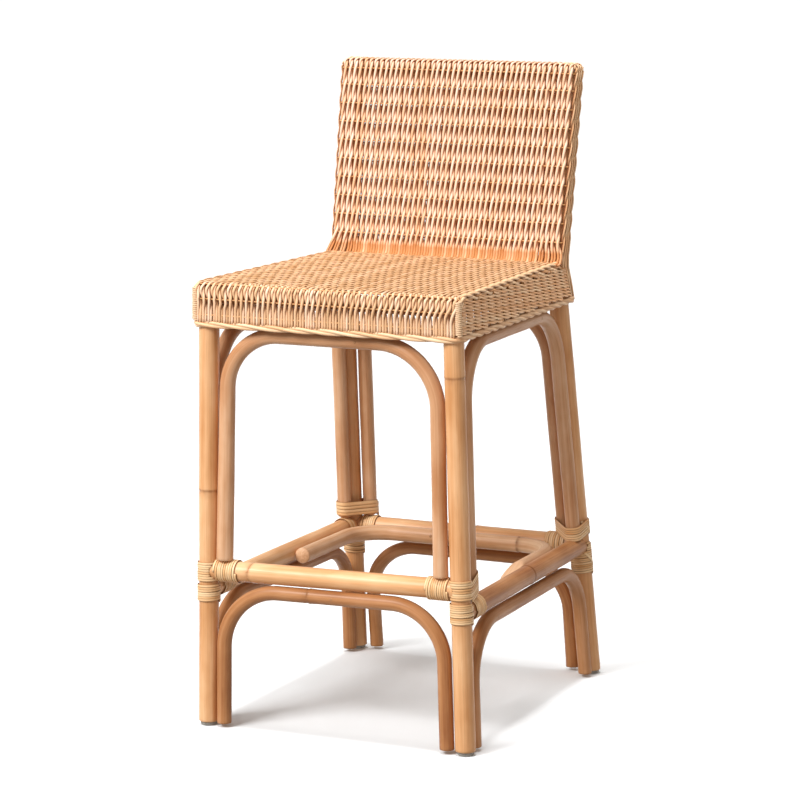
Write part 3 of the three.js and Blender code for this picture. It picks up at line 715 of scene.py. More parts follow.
def upper_hoops():
    """They stand on the stretchers and reach up under the seat."""
    tops = (UPPER_ARCH_Z, UPPER_ARCH_Z)
    widening = [ARCH_BEND, UPPER_WIDE_BEND]
    rear = [limb(rear_leg_at, side, (-27, 7.5)) for side in (-1, 1)]
    hoops = {
        "front": hoop(front_upper_limb(-1), front_upper_limb(1), (252.2, 257), tops, widening),
        "rear": hoop(*rear, (229.6, 229.6), tops, [ARCH_BEND, ARCH_BEND]),
    }
    for word, side in SIDES.items():
        front = limb(front_leg_at, side, (1.6, 26.6))
        rear = limb(rear_leg_at, side, (1.5, -27))
        hoops[word] = hoop(front, rear, (224.2, 229), tops, widening)
    return hoops


def lower_hoops():
    """They stand on the floor and reach up under the stretchers."""
    feet = (POLE_FOOT, POLE_FOOT)
    front = [limb(front_leg_at, side, (-27.2, -3.4)) for side in (-1, 1)]
    rear = [limb(rear_leg_at, side, (-27, 4), (-32, 4)) for side in (-1, 1)]
    hoops = {
        "front": hoop(*front, feet, (208.2, 212.6), [LOWER_LEFT_BEND, ARCH_BEND]),
        "rear": hoop(*rear, feet, (178.6, 178.6), [ARCH_BEND, ARCH_BEND]),
    }
    for word, side in SIDES.items():
        front = limb(front_leg_at, side, (2.2, 26.2))
        rear = limb(rear_leg_at, side, (1, -26.8), (1, -28.6))
        hoops[word] = hoop(front, rear, feet, (179.3, 179.3), [ARCH_BEND, ARCH_BEND])
    return hoops


OUTWARD = {
    "front": np.array([0.0, -1.0, 0.0]),
    "rear": np.array([0.0, 1.0, 0.0]),
    "left": np.array([-1.0, 0.0, 0.0]),
    "right": np.array([1.0, 0.0, 0.0]),
}


def build_hoops(cane, brown_and_shaded, putty):
    """The eight hoops. A plug's place is a share of its hoop, or millimetres if it is 1 or more."""
    rings = {
        "upper_front": (), "upper_rear": (520.0,), "upper_left": (640.0,), "upper_right": (),
        "lower_front": (306.0,), "lower_rear": (), "lower_left": (), "lower_right": (),
    }
    plugs = {
        "upper_front": (30.0, 160.0, 0.55), "upper_rear": (0.45,), "upper_left": (26.0, 0.5),
        "upper_right": (0.35, 0.6), "lower_front": (0.5,), "lower_rear": (0.5,),
        "lower_left": (0.4,), "lower_right": (0.3, 0.6),
    }
    lines = {f"upper_{k}": v for k, v in upper_hoops().items()}
    lines.update({f"lower_{k}": v for k, v in lower_hoops().items()})
    for seed, (word, line) in enumerate(lines.items()):
        level, place = word.split("_")
        radius = UPPER_ARCH_R if level == "upper" else LOWER_ARCH_R
        bundle = Bundle()
        rng = np.random.default_rng(51 + seed)
        add_pole(bundle, line, radius, rng, rings=rings[word], sides=28, step=6.0,
                 thicker_start=1.2 if word == "upper_front" else 0.0)
        if level == "lower":
            level_feet(bundle)
        length = run_of(line)[-1]
        outward = OUTWARD[place]
        for plug in plugs[word]:
            at = length * plug if plug < 1 else plug
            spot = along(line, np.array([at]))[0]
            add_plug(bundle, spot + outward * (radius - 0.25), outward, 2.3)
        # The lower hoops take the darker brown cane: partly their own darker tone, partly painted
        # shade under the stretchers and the seat.
        tone = cane if level == "upper" else brown_and_shaded
        bundle.build(f"hoop_{word}", [tone, putty],
                     replaces=[f"{level}_arch_{place}"])


def level_feet(bundle):
    """Both feet of a lower hoop are sawn level with the floor."""
    grid = bundle.points[0]
    low = grid[:, 2] < POLE_FOOT + 3.2
    grid[low, 2] = np.clip(grid[low, 2], POLE_FOOT, None)
    near = grid[:, 2] < POLE_FOOT + 0.95
    grid[near, 2] = np.where(grid[near, 2] < POLE_FOOT + 0.5, POLE_FOOT, grid[near, 2])


# ---------------------------------------------------------------- strip bindings


def hull(circles, clearance, count=120):
    """Outline drawn tight round circles (x, y, radius), with the outward direction at each point."""
    angle = np.arange(count) * 2 * np.pi / count
    facing = np.stack([np.cos(angle), np.sin(angle)], axis=-1)
    reach = np.stack([facing @ np.array(c[:2]) + c[2] + clearance for c in circles])
    best = reach.argmax(axis=0)
    centres = np.array([c[:2] for c in circles])[best]
    radii = np.array([c[2] for c in circles])[best] + clearance
    points = centres + facing * radii[:, None]
    closed = np.concatenate([points, points[:1]])
    return closed, np.concatenate([facing, facing[:1]])


def far_from(points, poles):
    """True where a point is outside all the given poles (end, end, radius)."""
    clear = np.ones(len(points), bool)
    for a, b, radius in poles:
        direction = unit(b - a)
        offset = points - a
        run = offset @ direction
        flat = offset - run[:, None] * direction
        inside = (np.linalg.norm(flat, axis=1) < radius) & (run > 0) & (run < np.linalg.norm(b - a))
        clear &= ~inside
    return clear


def runs_of(mask):
    """Stretches of neighbouring True values, as slices."""
    edges = np.flatnonzero(np.diff(np.concatenate([[0], mask.astype(int), [0]])))
    return [slice(a, b) for a, b in zip(edges[::2], edges[1::2]) if b - a > 3]


def add_wrap(bundle, centre_at, axes, circles, span, rng, avoid=(), width=4.0, thick=1.7, slant=0.0,
             sweep=(0.0, 0.0)):
    """Peel strip wound round a bundle of poles, turn against turn, over a span of its axis.

    The turns rise by `slant` sideways, and by the first number of `sweep` rearward of the second."""
    low, high = span
    turns = max(2, round((high - low) / (width * 0.97)))
    pitch = (high - low) / turns
    outline, facing = hull(circles, 0.45 + thick / 2)
    run = run_of(outline)
    steps = max(28, int(run[-1] / 3.2))
    total = turns * steps
    turn = np.arange(total + 1) / steps
    share = (turn % 1.0) * run[-1]
    flat = np.stack([np.interp(share, run, outline[:, k]) for k in range(2)], axis=-1)
    out2 = unit(np.stack([np.interp(share, run, facing[:, k]) for k in range(2)], axis=-1))
    jitter = np.interp(turn, np.arange(turns + 2), rng.normal(0, 0.35, turns + 2))
    height = low + pitch / 2 + (high - low - pitch) * turn / turns + jitter
    height = height + slant * flat[:, 0] + sweep[0] * np.maximum(flat[:, 1] - sweep[1], 0)
    lift = 0.35 * np.interp(turn, np.arange(0, turns + 2, 0.5), rng.uniform(0, 1, 2 * turns + 4))
    ex, ey = axes
    centre = centre_at(height) + flat[:, :1] * ex + flat[:, 1:] * ey
    outward = out2[:, :1] * ex + out2[:, 1:] * ey
    centre = centre + outward * lift[:, None]
    tint = np.interp(turn, np.arange(turns + 2), rng.uniform(0, 1, turns + 2))
    for part in runs_of(far_from(centre, avoid)):
        bundle.tube(centre[part], outward[part], pitch / 2 * 0.99, thick / 2, tint[part], sides=10,
                    square=0.92, shift=rng.uniform(0, 9))


def add_tuck(bundle, centre_at, axes, radius, span, angles, rng, width=4.2, thick=1.2):
    """The strip's end, pulled slantwise across the turns and tucked under the last one."""
    share = np.linspace(0, 1, 16)
    angle = lerp(angles[0], angles[1], share)
    height = lerp(span[0], span[1], share)
    rise = 0.45 + 1.5 * thick - 1.3 * thick * (2 * np.abs(share - 0.5)) ** 3
    ex, ey = axes
    outward = np.cos(angle)[:, None] * ex + np.sin(angle)[:, None] * ey
    centre = centre_at(height) + outward * (radius + rise)[:, None]
    bundle.tube(centre, outward, width / 2, thick / 2, rng.uniform(0.3, 1), sides=8, square=0.55,
                shift=rng.uniform(0, 9))


def upright(at, side):
    """Places on a leaning leg by height."""
    a, b = at(side, 0.0), at(side, 100.0)
    return lambda z: a[None] + (b - a)[None] * (np.atleast_1d(z)[:, None] / 100.0)


def on_line(a, b):
    """Places on a straight pole by distance from its first end."""
    direction = unit(b - a)
    return lambda h: a[None] + direction[None] * np.atleast_1d(h)[:, None]


# Level section axes, for bindings round a standing pole.
FLAT_AXES = (np.array([[1.0, 0, 0]]), np.array([[0, 1.0, 0]]))


def pole_axes(a, b):
    """Section axes for bindings round a straight pole."""
    direction = unit(b - a)
    ex = unit(np.cross(direction, [0, 0, 1.0]))
    return ex[None], np.cross(ex, direction)[None]


# Where bindings start and end: heights on a leg, and x or y along a stretcher.
BINDING_SPANS = {
    "left": {
        "leg_upper": (215.5, 248.0),
        "leg_lower": (186.0, 214.5),
        "front": (-186.5, -147.5),
        "rear": (-175.0, -146.0),
        "group": (227.0, 255.0),
    },
    "right": {
        "leg_upper": (224.0, 256.0),
        "leg_lower": (190.0, 223.0),
        "front": (149.0, 186.0),
        "rear": (138.6, 175.0),
        "group": (219.7, 245.3),
    },
}
SIDE_BINDING = (-217.5, -180.0)
SIDE_REAR_BINDING = (206.0, 229.5)
REAR_LEG_BINDING = (163.0, 216.0)


def build_binding(peel, name, *wraps):
    """One binding: each wrap is a function that winds its strips into the bundle."""
    bundle = Bundle()
    for wrap in wraps:
        wrap(bundle)
    bundle.build(f"{name}_strips", [peel], replaces=[name])


def round_pole(pole, axis, places, rng, avoid=()):
    """A wrap round a straight pole between two places, given as x (axis 0) or y (axis 1)."""
    a, b, radius = pole
    direction = unit(b - a)
    span = tuple((place - a[axis]) / direction[axis] for place in places)
    return lambda bundle: add_wrap(bundle, on_line(a, b), pole_axes(a, b), [(0, 0, radius)], span,
                                   rng, avoid)


def build_bindings(peel):
    poles = {k: (a, b, REAR_STRETCHER_R if k == "rear" else STRETCHER_R)
             for k, (a, b) in STRETCHER_ENDS.items()}
    inner = {k: (a, b, radius - 1.2) for k, (a, b, radius) in poles.items()}
    for seed, (word, side) in enumerate(SIDES.items()):
        rng = np.random.default_rng(71 + seed)
        spans = BINDING_SPANS[word]
        at_front = [inner["front"], inner[word]]
        front_leg_bindings(peel, word, side, spans, at_front, rng)
        build_binding(peel, f"binding_stretcher_front_{word}",
                      round_pole(poles["front"], 0, spans["front"], rng))
        build_binding(peel, f"binding_side_stretcher_{word}",
                      round_pole(poles[word], 1, SIDE_BINDING, rng))
        if word == "left":
            build_binding(peel, "binding_side_stretcher_rear_left",
                          round_pole(poles[word], 1, SIDE_REAR_BINDING, rng, [inner["rear"]]))
        at_rear = [inner[word], inner["rear"]]
        rear_group_binding(peel, word, side, spans["group"], at_rear, rng)
        build_binding(peel, f"binding_stretcher_rear_{word}",
                      round_pole(poles["rear"], 0, spans["rear"], rng))
        rear_leg_binding(peel, word, side, at_rear, rng)


def front_leg_bindings(peel, word, side, spans, avoid, rng):
    """Strips round leg and side hoop where the front stretcher ends, and round the leg below."""
    front = upright(front_leg_at, side)
    leg = (0.0, 0.0, LEG_R)
    limb = (side * 1.6, 26.6, UPPER_ARCH_R)
    build_binding(peel, f"binding_front_leg_upper_{word}",
                  lambda b: add_wrap(b, front, FLAT_AXES, [leg, limb], spans["leg_upper"], rng,
                                     avoid, sweep=(0.3, 4.0)))
    build_binding(peel, f"binding_front_leg_lower_{word}",
                  lambda b: add_wrap(b, front, FLAT_AXES, [leg], spans["leg_lower"], rng, avoid))


def rear_group_binding(peel, word, side, span, avoid, rng):
    """Strips that hold both upper hoops to the rear leg: few and broad at the left."""
    rear = upright(rear_leg_at, side)
    group = [
        (0.0, 0.0, REAR_LEG_R),
        (side * 1.5, -27.0, UPPER_ARCH_R),
        (-side * 27.0, 7.5, UPPER_ARCH_R),
    ]
    width = 8.0 if side < 0 else 4.4
    sweep = (0.0, 0.0) if side < 0 else (0.2, -38.0)
    tuck_angles = (0.4, -0.9) if side > 0 else (2.8, 3.9)
    build_binding(peel, f"binding_rear_group_{word}",
                  lambda b: add_wrap(b, rear, FLAT_AXES, group, span, rng, avoid, width=width,
                                     thick=2.0, slant=0.05 * side, sweep=sweep),
                  lambda b: add_tuck(b, rear, FLAT_AXES, REAR_LEG_R, (231, 250), tuck_angles, rng))


def rear_leg_binding(peel, word, side, avoid, rng):
    """Strips round the rear leg, behind and below the ends of the stretchers."""
    rear = upright(rear_leg_at, side)
    leg = (0.0, 0.0, REAR_LEG_R)
    tuck_angles = (0.9, -1.1) if side > 0 else (2.6, 4.0)
    build_binding(peel, f"binding_rear_leg_{word}",
                  lambda b: add_wrap(b, rear, FLAT_AXES, [leg], REAR_LEG_BINDING, rng, avoid,
                                     slant=0.08 * side),
                  lambda b: add_tuck(b, rear, FLAT_AXES, REAR_LEG_R, (170, 205), tuck_angles, rng))


# ---------------------------------------------------------------- weaving


# An ease that stands for its own rule in twine_steps.
SIDE_BY_SIDE = 0.0


def profile_frame(points, at, across):
    """Surface places on a profile, with the outward direction there."""
    run = run_of(points)
    place = along(points, at)
    ahead = unit(along(points, np.minimum(at + 0.8, run[-1])) - along(points, np.maximum(at - 0.8, 0)))
    return place, unit(np.cross(ahead, across))


def twine_steps(stakes, ease, per_turn=6):
    """Distances and twist angles of a twined pair that makes half a turn between stakes.

    ease > 1 lets the pair lie side by side early in each interval, ease < 1 late and 1 half way.
    With SIDE_BY_SIDE it starts an interval side by side and crosses only at its end."""
    run, twist = [], []
    for k in range(len(stakes) - 1):
        e = ease[k] if np.ndim(ease) else ease
        for j in range(per_turn):
            share = j / per_turn
            if e == SIDE_BY_SIDE:
                run.append(lerp(stakes[k], stakes[k + 1], share))
                hold = 0.5 + 0.5 * smooth((share - 0.4) / 0.6)
                twist.append(math.pi * (k + hold))
                continue
            warp = 1 - (1 - share) ** (1 / e) if e >= 1 else share**e
            run.append(lerp(stakes[k], stakes[k + 1], warp))
            twist.append(math.pi * (k + share))
    run.append(stakes[-1])
    twist.append(math.pi * (len(stakes) - 1))
    return np.array(run), np.array(twist)


def add_pair(bundle, place, outward, across, twist, rng, swing=TWINE_SWING, depth=TWINE_DEPTH,
             axis=TWINE_AXIS, wide=STRAND_WIDE, thick=STRAND_THICK, deepest=None, warm=0.0):
    """Two strands twisted about each other just inside a surface.

    `warm` turns their tone towards the material's deep and amber colours."""
    for half in (0.0, math.pi):
        turn = twist + half
        swing_here = swing * rng.uniform(0.9, 1.1)
        inset = axis - depth * np.cos(turn)
        if deepest is not None:
            inset = np.minimum(inset, deepest)
        sine = np.sin(turn + TWINE_LEAD)
        sideways = swing_here * np.sign(sine) * np.abs(sine) ** TWINE_SNAP
        centre = place - across * sideways[:, None] - outward * inset[:, None]
        size = rng.uniform(0.95, 1.05)
        # Painted shade: pairs that lie deeper in the weave are painted darker, those nearer its face a
        # little lighter.
        sunk_shade = np.clip((inset - axis) / 4.0, -0.1, 0.6)
        bundle.tube(centre, outward, wide * size, thick * size, rng.uniform(0, 1) - warm,
                    shift=rng.uniform(0, 30), sunk_shade=sunk_shade)


def seat_half(y, z):
    """Half the seat's width: it narrows towards the back, and a little towards its top."""
    back = (y - SEAT_FRONT) / (SEAT_REAR - SEAT_FRONT)
    up = (z - BORDER_TOP) / (SEAT_TOP - BORDER_TOP)
    low = lerp(FRONT_HALF["low"], REAR_HALF["low"], back)
    high = lerp(FRONT_HALF["high"], REAR_HALF["high"], back)
    return lerp(low, high, up)


def back_half(z):
    """Half the back's width: it flares at its lower corners and slightly towards its top."""
    drop = np.maximum(SEAT_TOP - z, 0) / (SEAT_TOP - BORDER_TOP)
    rise = np.maximum(z - SEAT_TOP, 0) / (BACK_TOP - SEAT_TOP)
    return BACK_HALF + BACK_LOW_FLARE * smooth(drop) + BACK_FLARE * rise


# The seat's weave runs up from the border, over the front edge and back to the back's face.
SEAT_END_Y = BACK_FRONT - 3.0
APRON_STAKES = (613.0, 636.0)
SEAT_PROFILE = bent_line(
    [(0, SEAT_FRONT, BORDER_TOP - 2), (0, SEAT_FRONT, SEAT_TOP), (0, SEAT_END_Y, SEAT_TOP)],
    [SEAT_ROLL],
    arc_step=0.8,
)
FIRST_TOP_STAKE = 62.0


def seat_stake_runs():
    """Distances along the seat's profile at which cross stakes lie."""
    low = [z - BORDER_TOP + 2 for z in APRON_STAKES]
    length = run_of(SEAT_PROFILE)[-1]
    top = np.arange(FIRST_TOP_STAKE, length - 8, STAKE_PITCH)
    return [0.0] + low + list(top) + [length]


def build_seat_weave(strand):
    """Twined pairs that rise up the front apron, roll over the edge and run to the back."""
    bundle = Bundle()
    rng = np.random.default_rng(101)
    across = np.array([-1.0, 0, 0])
    stakes = seat_stake_runs()
    # The pairs pass the lowest stake of the apron side by side, without a crossing.
    del stakes[1]
    ease = [SIDE_BY_SIDE, 1.9] + [1.0] * (len(stakes) - 3)
    run, twist = twine_steps(stakes, ease)
    place, outward = profile_frame(SEAT_PROFILE, run, across)
    edge = 4.5
    diagonal = -0.85
    for column in range(SEAT_COLUMNS):
        share = (column + 0.5) / SEAT_COLUMNS * 2 - 1
        half = seat_half(place[:, 1], np.minimum(place[:, 2], SEAT_TOP)) - edge
        inset = 5.0 * smooth((BORDER_TOP + 44 - place[:, 2]) / 20)
        x = share * (half - inset)
        drift = 0.35 * np.sin(run / 60 + rng.uniform(0, 6.28))
        points = place.copy()
        points[:, 0] = x + drift
        on_top = smooth((place[:, 1] - SEAT_FRONT - 4) / 26)
        spread = 1 - 0.10 * smooth((place[:, 1] + 100) / 260)
        # Each column's crossings lag the last one's on top, which draws the seat's diagonals.
        stagger = diagonal * column * on_top
        add_pair(bundle, points, outward, across, twist + stagger + rng.normal(0, 0.12), rng,
                 wide=lerp(STRAND_WIDE, 2.3, on_top) * spread, swing=lerp(1.95, 1.75, on_top),
                 depth=lerp(TWINE_DEPTH, 0.95, on_top), axis=lerp(TWINE_AXIS, 2.7, on_top),
                 warm=0.55 * on_top)
    bundle.build("seat_weave_strands", [strand], replaces=["seat_weave"])


# The wide pairs on the seat's side edge: height from the seat's top, the way they face (x at the
# right, y, z), and how far in from the side they lie.
EDGE_PAIRS = ((-0.6, (0.72, 0, 0.7), 1.2), (-8.3, (1.0, 0, 0.12), 0.4))


def edge_and_apron_rows(bundle, side, rng):
    """Pairs along the seat's side: two wide ones over the edge, then close rows down the apron."""
    normal_side = np.array([side, 0.0, 0.0])
    stakes_y = [-258.0] + list(side_stake_places()) + [184.0]
    run, twist = twine_steps(stakes_y, 1.0)
    for lift, facing, pull in EDGE_PAIRS:
        z = SEAT_TOP + lift
        start = smooth((run + 262) / 16)
        heights = z - 7 * (1 - start)
        x = side * (seat_half(run, np.full_like(run, z)) - pull)
        place = np.stack([x, run, heights], axis=-1)
        outward = np.repeat(unit(np.array([side * facing[0], 0, facing[2]]))[None], len(run), axis=0)
        across = unit(np.cross(outward, [0, 1.0, 0]))
        add_pair(bundle, place, outward, across, twist, rng, wide=2.1, thick=1.6, swing=1.75,
                 warm=0.1)
    # The apron's rows climb towards the front, so they run out at the border and at the edge.
    slope = 0.074
    pitch = 4.6
    top_row = SEAT_TOP - 11.0
    for row in range(-1, 20):
        start_z = BORDER_TOP + 4.0 + pitch * row
        heights = start_z - slope * (run + 258.0)
        inside = (heights > BORDER_TOP + 1.2) & (heights < top_row)
        for part in runs_of(inside):
            y = run[part]
            z = heights[part]
            x = side * seat_half(y, z)
            place = np.stack([x, y, z], axis=-1)
            outward = np.repeat(normal_side[None], len(y), axis=0)
            across = np.repeat(np.array([[0, 0, float(side)]]), len(y), axis=0)
            add_pair(bundle, place, outward, across, twist[part] + (row % 2) * 0.25, rng, swing=1.15,
                     depth=1.0, axis=2.5, wide=1.55, thick=1.35, warm=0.1)


def side_stake_places():
    """Where the seat's cross stakes come down the sides, as y."""
    places = along(SEAT_PROFILE, np.array(seat_stake_runs()[3:-1]))[:, 1]
    return list(places) + [places[-1] + STAKE_PITCH]


def build_seat_sides(strand):
    """The rows on the seat's two sides, twined round the cross stakes where they come down."""
    for seed, (word, side) in enumerate(SIDES.items()):
        bundle = Bundle()
        edge_and_apron_rows(bundle, side, np.random.default_rng(111 + seed))
        bundle.build(f"seat_side_rows_{word}", [strand])


def build_seat_stakes(strand):
    """Cross stakes over the seat and down both sides, and two along the front apron."""
    bundle = Bundle()
    rng = np.random.default_rng(121)
    depth = TWINE_AXIS + 0.1
    for y in side_stake_places()[:-1]:
        top = SEAT_TOP - depth
        low = BORDER_TOP + 1
        corners = []
        for side, z in ((-1, low), (-1, top), (1, top), (1, low)):
            corners.append((side * (seat_half(y, z) - depth), y, z))
        line = bent_line(corners, [6.0, 6.0], arc_step=2.0)
        outward = np.cross(unit(np.gradient(line, axis=0)), [0, 1.0, 0])
        bundle.tube(line, unit(outward), STAKE_R, STAKE_R, rng.uniform(0, 0.6), sides=8,
                    shift=rng.uniform(0, 9))
    for z in APRON_STAKES:
        half = seat_half(SEAT_FRONT, z) - 12
        xs = np.linspace(-half, half, 12)
        line = np.stack([xs, np.full(12, SEAT_FRONT + depth), np.full(12, z)], axis=-1)
        bundle.tube(line, np.repeat([[0, -1.0, 0]], 12, axis=0), STAKE_R, STAKE_R,
                    rng.uniform(0, 0.6), sides=8, shift=rng.uniform(0, 9))
    bundle.build("seat_stakes", [strand])


# ---------------------------------------------------------------- the back's weave


def back_front_y(z):
    """The back's front face: it leans back above the seat's top and kicks back below it."""
    kick = BACK_TUCK * np.maximum(SEAT_TOP - z, 0) / (SEAT_TOP - BORDER_TOP)
    return BACK_FRONT + BACK_LEAN * np.maximum(z - SEAT_TOP, 0) + kick


# The radius in which the back's weave springs from the seat's.
COVE = 6.0


def back_profile(top):
    """Side view of one column: up from the seat, over the top edge and down to the border."""
    start = (0, back_front_y(SEAT_TOP) - COVE - 2, SEAT_TOP - 0.5)
    foot = (0, back_front_y(SEAT_TOP), SEAT_TOP - 0.5)
    front_top = (0, back_front_y(top), top)
    rear_top = (0, back_front_y(top) + BACK_DEPTH, top)
    rear_seat = (0, back_front_y(SEAT_TOP) + BACK_DEPTH, SEAT_TOP)
    rear_foot = (0, back_front_y(BORDER_TOP) + BACK_DEPTH, BORDER_TOP - 1)
    return bent_line([start, foot, front_top, rear_top, rear_seat, rear_foot],
                     [COVE, BACK_TOP_ROLL, BACK_TOP_ROLL, 30.0], arc_step=0.9)


def back_stake_heights():
    """Heights of the level stakes on the back's front face."""
    return [LOWEST_BACK_STAKE + STAKE_PITCH * k for k in range(BACK_STAKES)] + [TOP_BACK_STAKE]


# Heights at which the rear's pairs cross below its lowest stake.
REAR_SKIRT_KNOTS = (653.0, 625.0)


def back_knots(profile, top):
    """Half-turn places down one column, and how each interval is eased."""
    run = run_of(profile)
    peak = int(np.argmax(profile[:, 2] > top - 0.05))
    heights = np.array(back_stake_heights())
    front = np.interp(heights, profile[: peak + 1, 2], run[: peak + 1])
    down = profile[::-1]
    run_down = run[::-1]
    falling = down[:, 2][: len(down) - peak]
    rear_heights = np.append(heights[::-1] - REAR_STAKE_DROP, REAR_SKIRT_KNOTS)
    rear = np.interp(rear_heights, falling, run_down[: len(falling)])
    over = np.linspace(front[-1], rear[0], 5)[1:-1]
    knots = [0.0] + list(front) + list(over) + list(rear) + [run[-1]]
    ease = [SIDE_BY_SIDE] + [2.1] * (len(front) - 1) + [1.0] * 4 + [0.5] * (len(rear) - 1) + [1.0]
    return knots, ease


def corner_drop(x, top_half, radius=14.0):
    """How much lower a column's top is where the back's upper corners are rounded."""
    past = max(abs(x) - (top_half - radius), 0.0)
    return radius - math.sqrt(max(radius * radius - past * past, 0.0))


def back_pair_shape(place, front, share):
    """How wide, loose, deep and warm a column's pair is along its way.

    Pairs lie flat and wide in a low band above the seat, tight where they roll over the top edge
    and loose down the rear. The outermost columns of the band stay round and narrow."""
    loose = smooth((abs(share) - 0.76) / 0.1)
    band = smooth((LOWEST_BACK_STAKE - 8 - place[:, 2]) / 10) * front
    over = smooth((place[:, 2] - BACK_ROLL_START) / 6)
    behind = smooth((place[:, 1] - back_front_y(place[:, 2]) - BACK_DEPTH + 12) / 8)
    front_swing = lerp(lerp(TWINE_SWING, 2.12, band), 1.6, over)
    return {
        "wide": lerp(lerp(STRAND_WIDE, 2.65, band), 2.0, np.maximum(over, band * loose)),
        "swing": lerp(front_swing, 2.15, behind * (1 - over)),
        "depth": lerp(TWINE_DEPTH, 0.8, band * (1 - loose)),
        "axis": lerp(TWINE_AXIS, 2.6, band * (1 - loose)),
        "warm": 1.2 * band,
    }


def build_back_weave(strand):
    """Twined pairs up the front of the back, over its top edge and down its rear face.

    Just above the seat the outer columns fan out and step forward round the seat's corners."""
    bundle = Bundle()
    rng = np.random.default_rng(131)
    across = np.array([-1.0, 0, 0])
    top_half = back_half(BACK_TOP)
    for column in range(BACK_COLUMNS):
        share = (column + 0.5) / BACK_COLUMNS * 2 - 1
        x_top = share * (top_half - BACK_INSET)
        top = BACK_TOP - 1.0 - corner_drop(x_top, top_half)
        profile = back_profile(top)
        knots, ease = back_knots(profile, top)
        run, twist = twine_steps(knots, ease)
        place, outward = profile_frame(profile, run, across)
        half = back_half(place[:, 2]) - BACK_INSET
        front = place[:, 1] < back_front_y(place[:, 2]) + BACK_DEPTH / 2
        fan = 8.5 * smooth((SEAT_TOP + 34 - place[:, 2]) / 38) * front
        outer = smooth((abs(share) - 0.78) / 0.22) * np.sign(share)
        points = place.copy()
        points[:, 0] = share * half + fan * outer + 0.3 * np.sin(run / 70 + rng.uniform(0, 6.28))
        points[:, 1] -= 6.0 * smooth((SEAT_TOP + 14 - place[:, 2]) / 16) * front * abs(outer)
        # A post fills the back here, so its pairs can't sink as deep.
        at_post = abs(points[len(points) // 3, 0]) > BACK_POST_EDGE
        add_pair(bundle, points, outward, across, twist + rng.normal(0, 0.1), rng,
                 deepest=4.6 if at_post else None, **back_pair_shape(place, front, share))
    bundle.build("back_weave_strands", [strand], replaces=["back_weave"])


SIDE_COLUMNS = 4


def side_column_line(side, column):
    """A side pair's way up one edge of the back and over its top corner, seen from the front.

    The two front columns start just under the seat's top, the others at the border."""
    tops = BACK_TOP + 0.6
    inward = 20.0 + 9 * ((column * 2) % 3)
    over = [
        (side * back_half(tops), 0, tops),
        (side * (back_half(tops) - inward), 0, tops - 2.5),
    ]
    if column < 2:
        return bent_line([(side * back_half(650.0), 0, 650.0)] + over, [14.0], arc_step=0.9)
    low = BORDER_TOP - 1
    foot = [(side * back_half(low), 0, low), (side * back_half(SEAT_TOP), 0, SEAT_TOP)]
    return bent_line(foot + over, [40.0, 14.0], arc_step=0.9)


def side_column_knots(line):
    """Half-turn places along a side pair: at the stakes, then evenly over the top corner."""
    run = run_of(line)
    peak = np.argmax(line[:, 2])
    rise = np.interp(back_stake_heights(), line[:, 2][:peak], run[:peak])
    knots = [0.0] + [k for k in rise if 8 < k < run[-1] - 12]
    return knots + list(np.linspace(knots[-1], run[-1], 5)[1:])


def build_back_sides(strand):
    """Upright pairs on the back's two edges; they fold over the top corners."""
    rng = np.random.default_rng(141)
    for word, side in SIDES.items():
        bundle = Bundle()
        for column in range(SIDE_COLUMNS):
            share = (column + 0.5) / SIDE_COLUMNS
            line = side_column_line(side, column)
            run, twist = twine_steps(side_column_knots(line), 1.3)
            across = np.array([0, -float(side), 0])
            place, outward = profile_frame(line, run, across)
            depth_here = 4.5 + (BACK_DEPTH - 9.0) * share
            place[:, 1] = back_front_y(place[:, 2]) + depth_here
            add_pair(bundle, place, outward, across, twist + rng.normal(0, 0.1), rng,
                     wide=2.0, swing=1.45)
        bundle.build(f"back_side_strands_{word}", [strand])


def build_back_stakes(strand):
    """Level stakes that run right round the back inside the pairs."""
    bundle = Bundle()
    rng = np.random.default_rng(151)
    inset = TWINE_AXIS + 0.1
    radius = 6.0
    for z in back_stake_heights():
        half = back_half(z) - inset
        depth = BACK_DEPTH - 2 * inset
        flat = bent_line([(0, 0, 0), (half, 0, 0), (half, depth, 0), (-half, depth, 0),
                          (-half, 0, 0), (-1, 0, 0)], [radius] * 4, arc_step=2.5)
        share = flat[:, 1] / depth
        ring = flat.copy()
        ring[:, 2] = z - REAR_STAKE_DROP * share
        ring[:, 1] = back_front_y(ring[:, 2]) + inset + flat[:, 1]
        outward = np.cross(unit(np.gradient(ring, axis=0)), [0, 0, 1.0])
        bundle.tube(ring, unit(outward), STAKE_R, STAKE_R, rng.uniform(0, 0.6), sides=8,
                    closed=True, shift=rng.uniform(0, 9))
    bundle.build("back_stakes", [strand])


# ---------------------------------------------------------------- border and corner posts


def border_line(inset):
    """The border's path round the seat, anticlockwise from the front left."""
    front, rear = SEAT_FRONT + inset, SEAT_REAR - inset
    wide, narrow = FRONT_HALF["low"] - inset, REAR_HALF["low"] - inset
    corners = [(-60.0, front, 0), (wide, front, 0), (narrow, rear, 0), (-narrow, rear, 0),
               (-wide, front, 0), (-61.0, front, 0)]
    return bent_line(corners, [15.0 - inset] * 4, arc_step=1.5)


ROPE_AXIS = 4.7
ROPE_STEP = 3.0
ROPE_SWELL = 2.65
ROPE_LAY = {"side": 88.0, "front": 132.0}


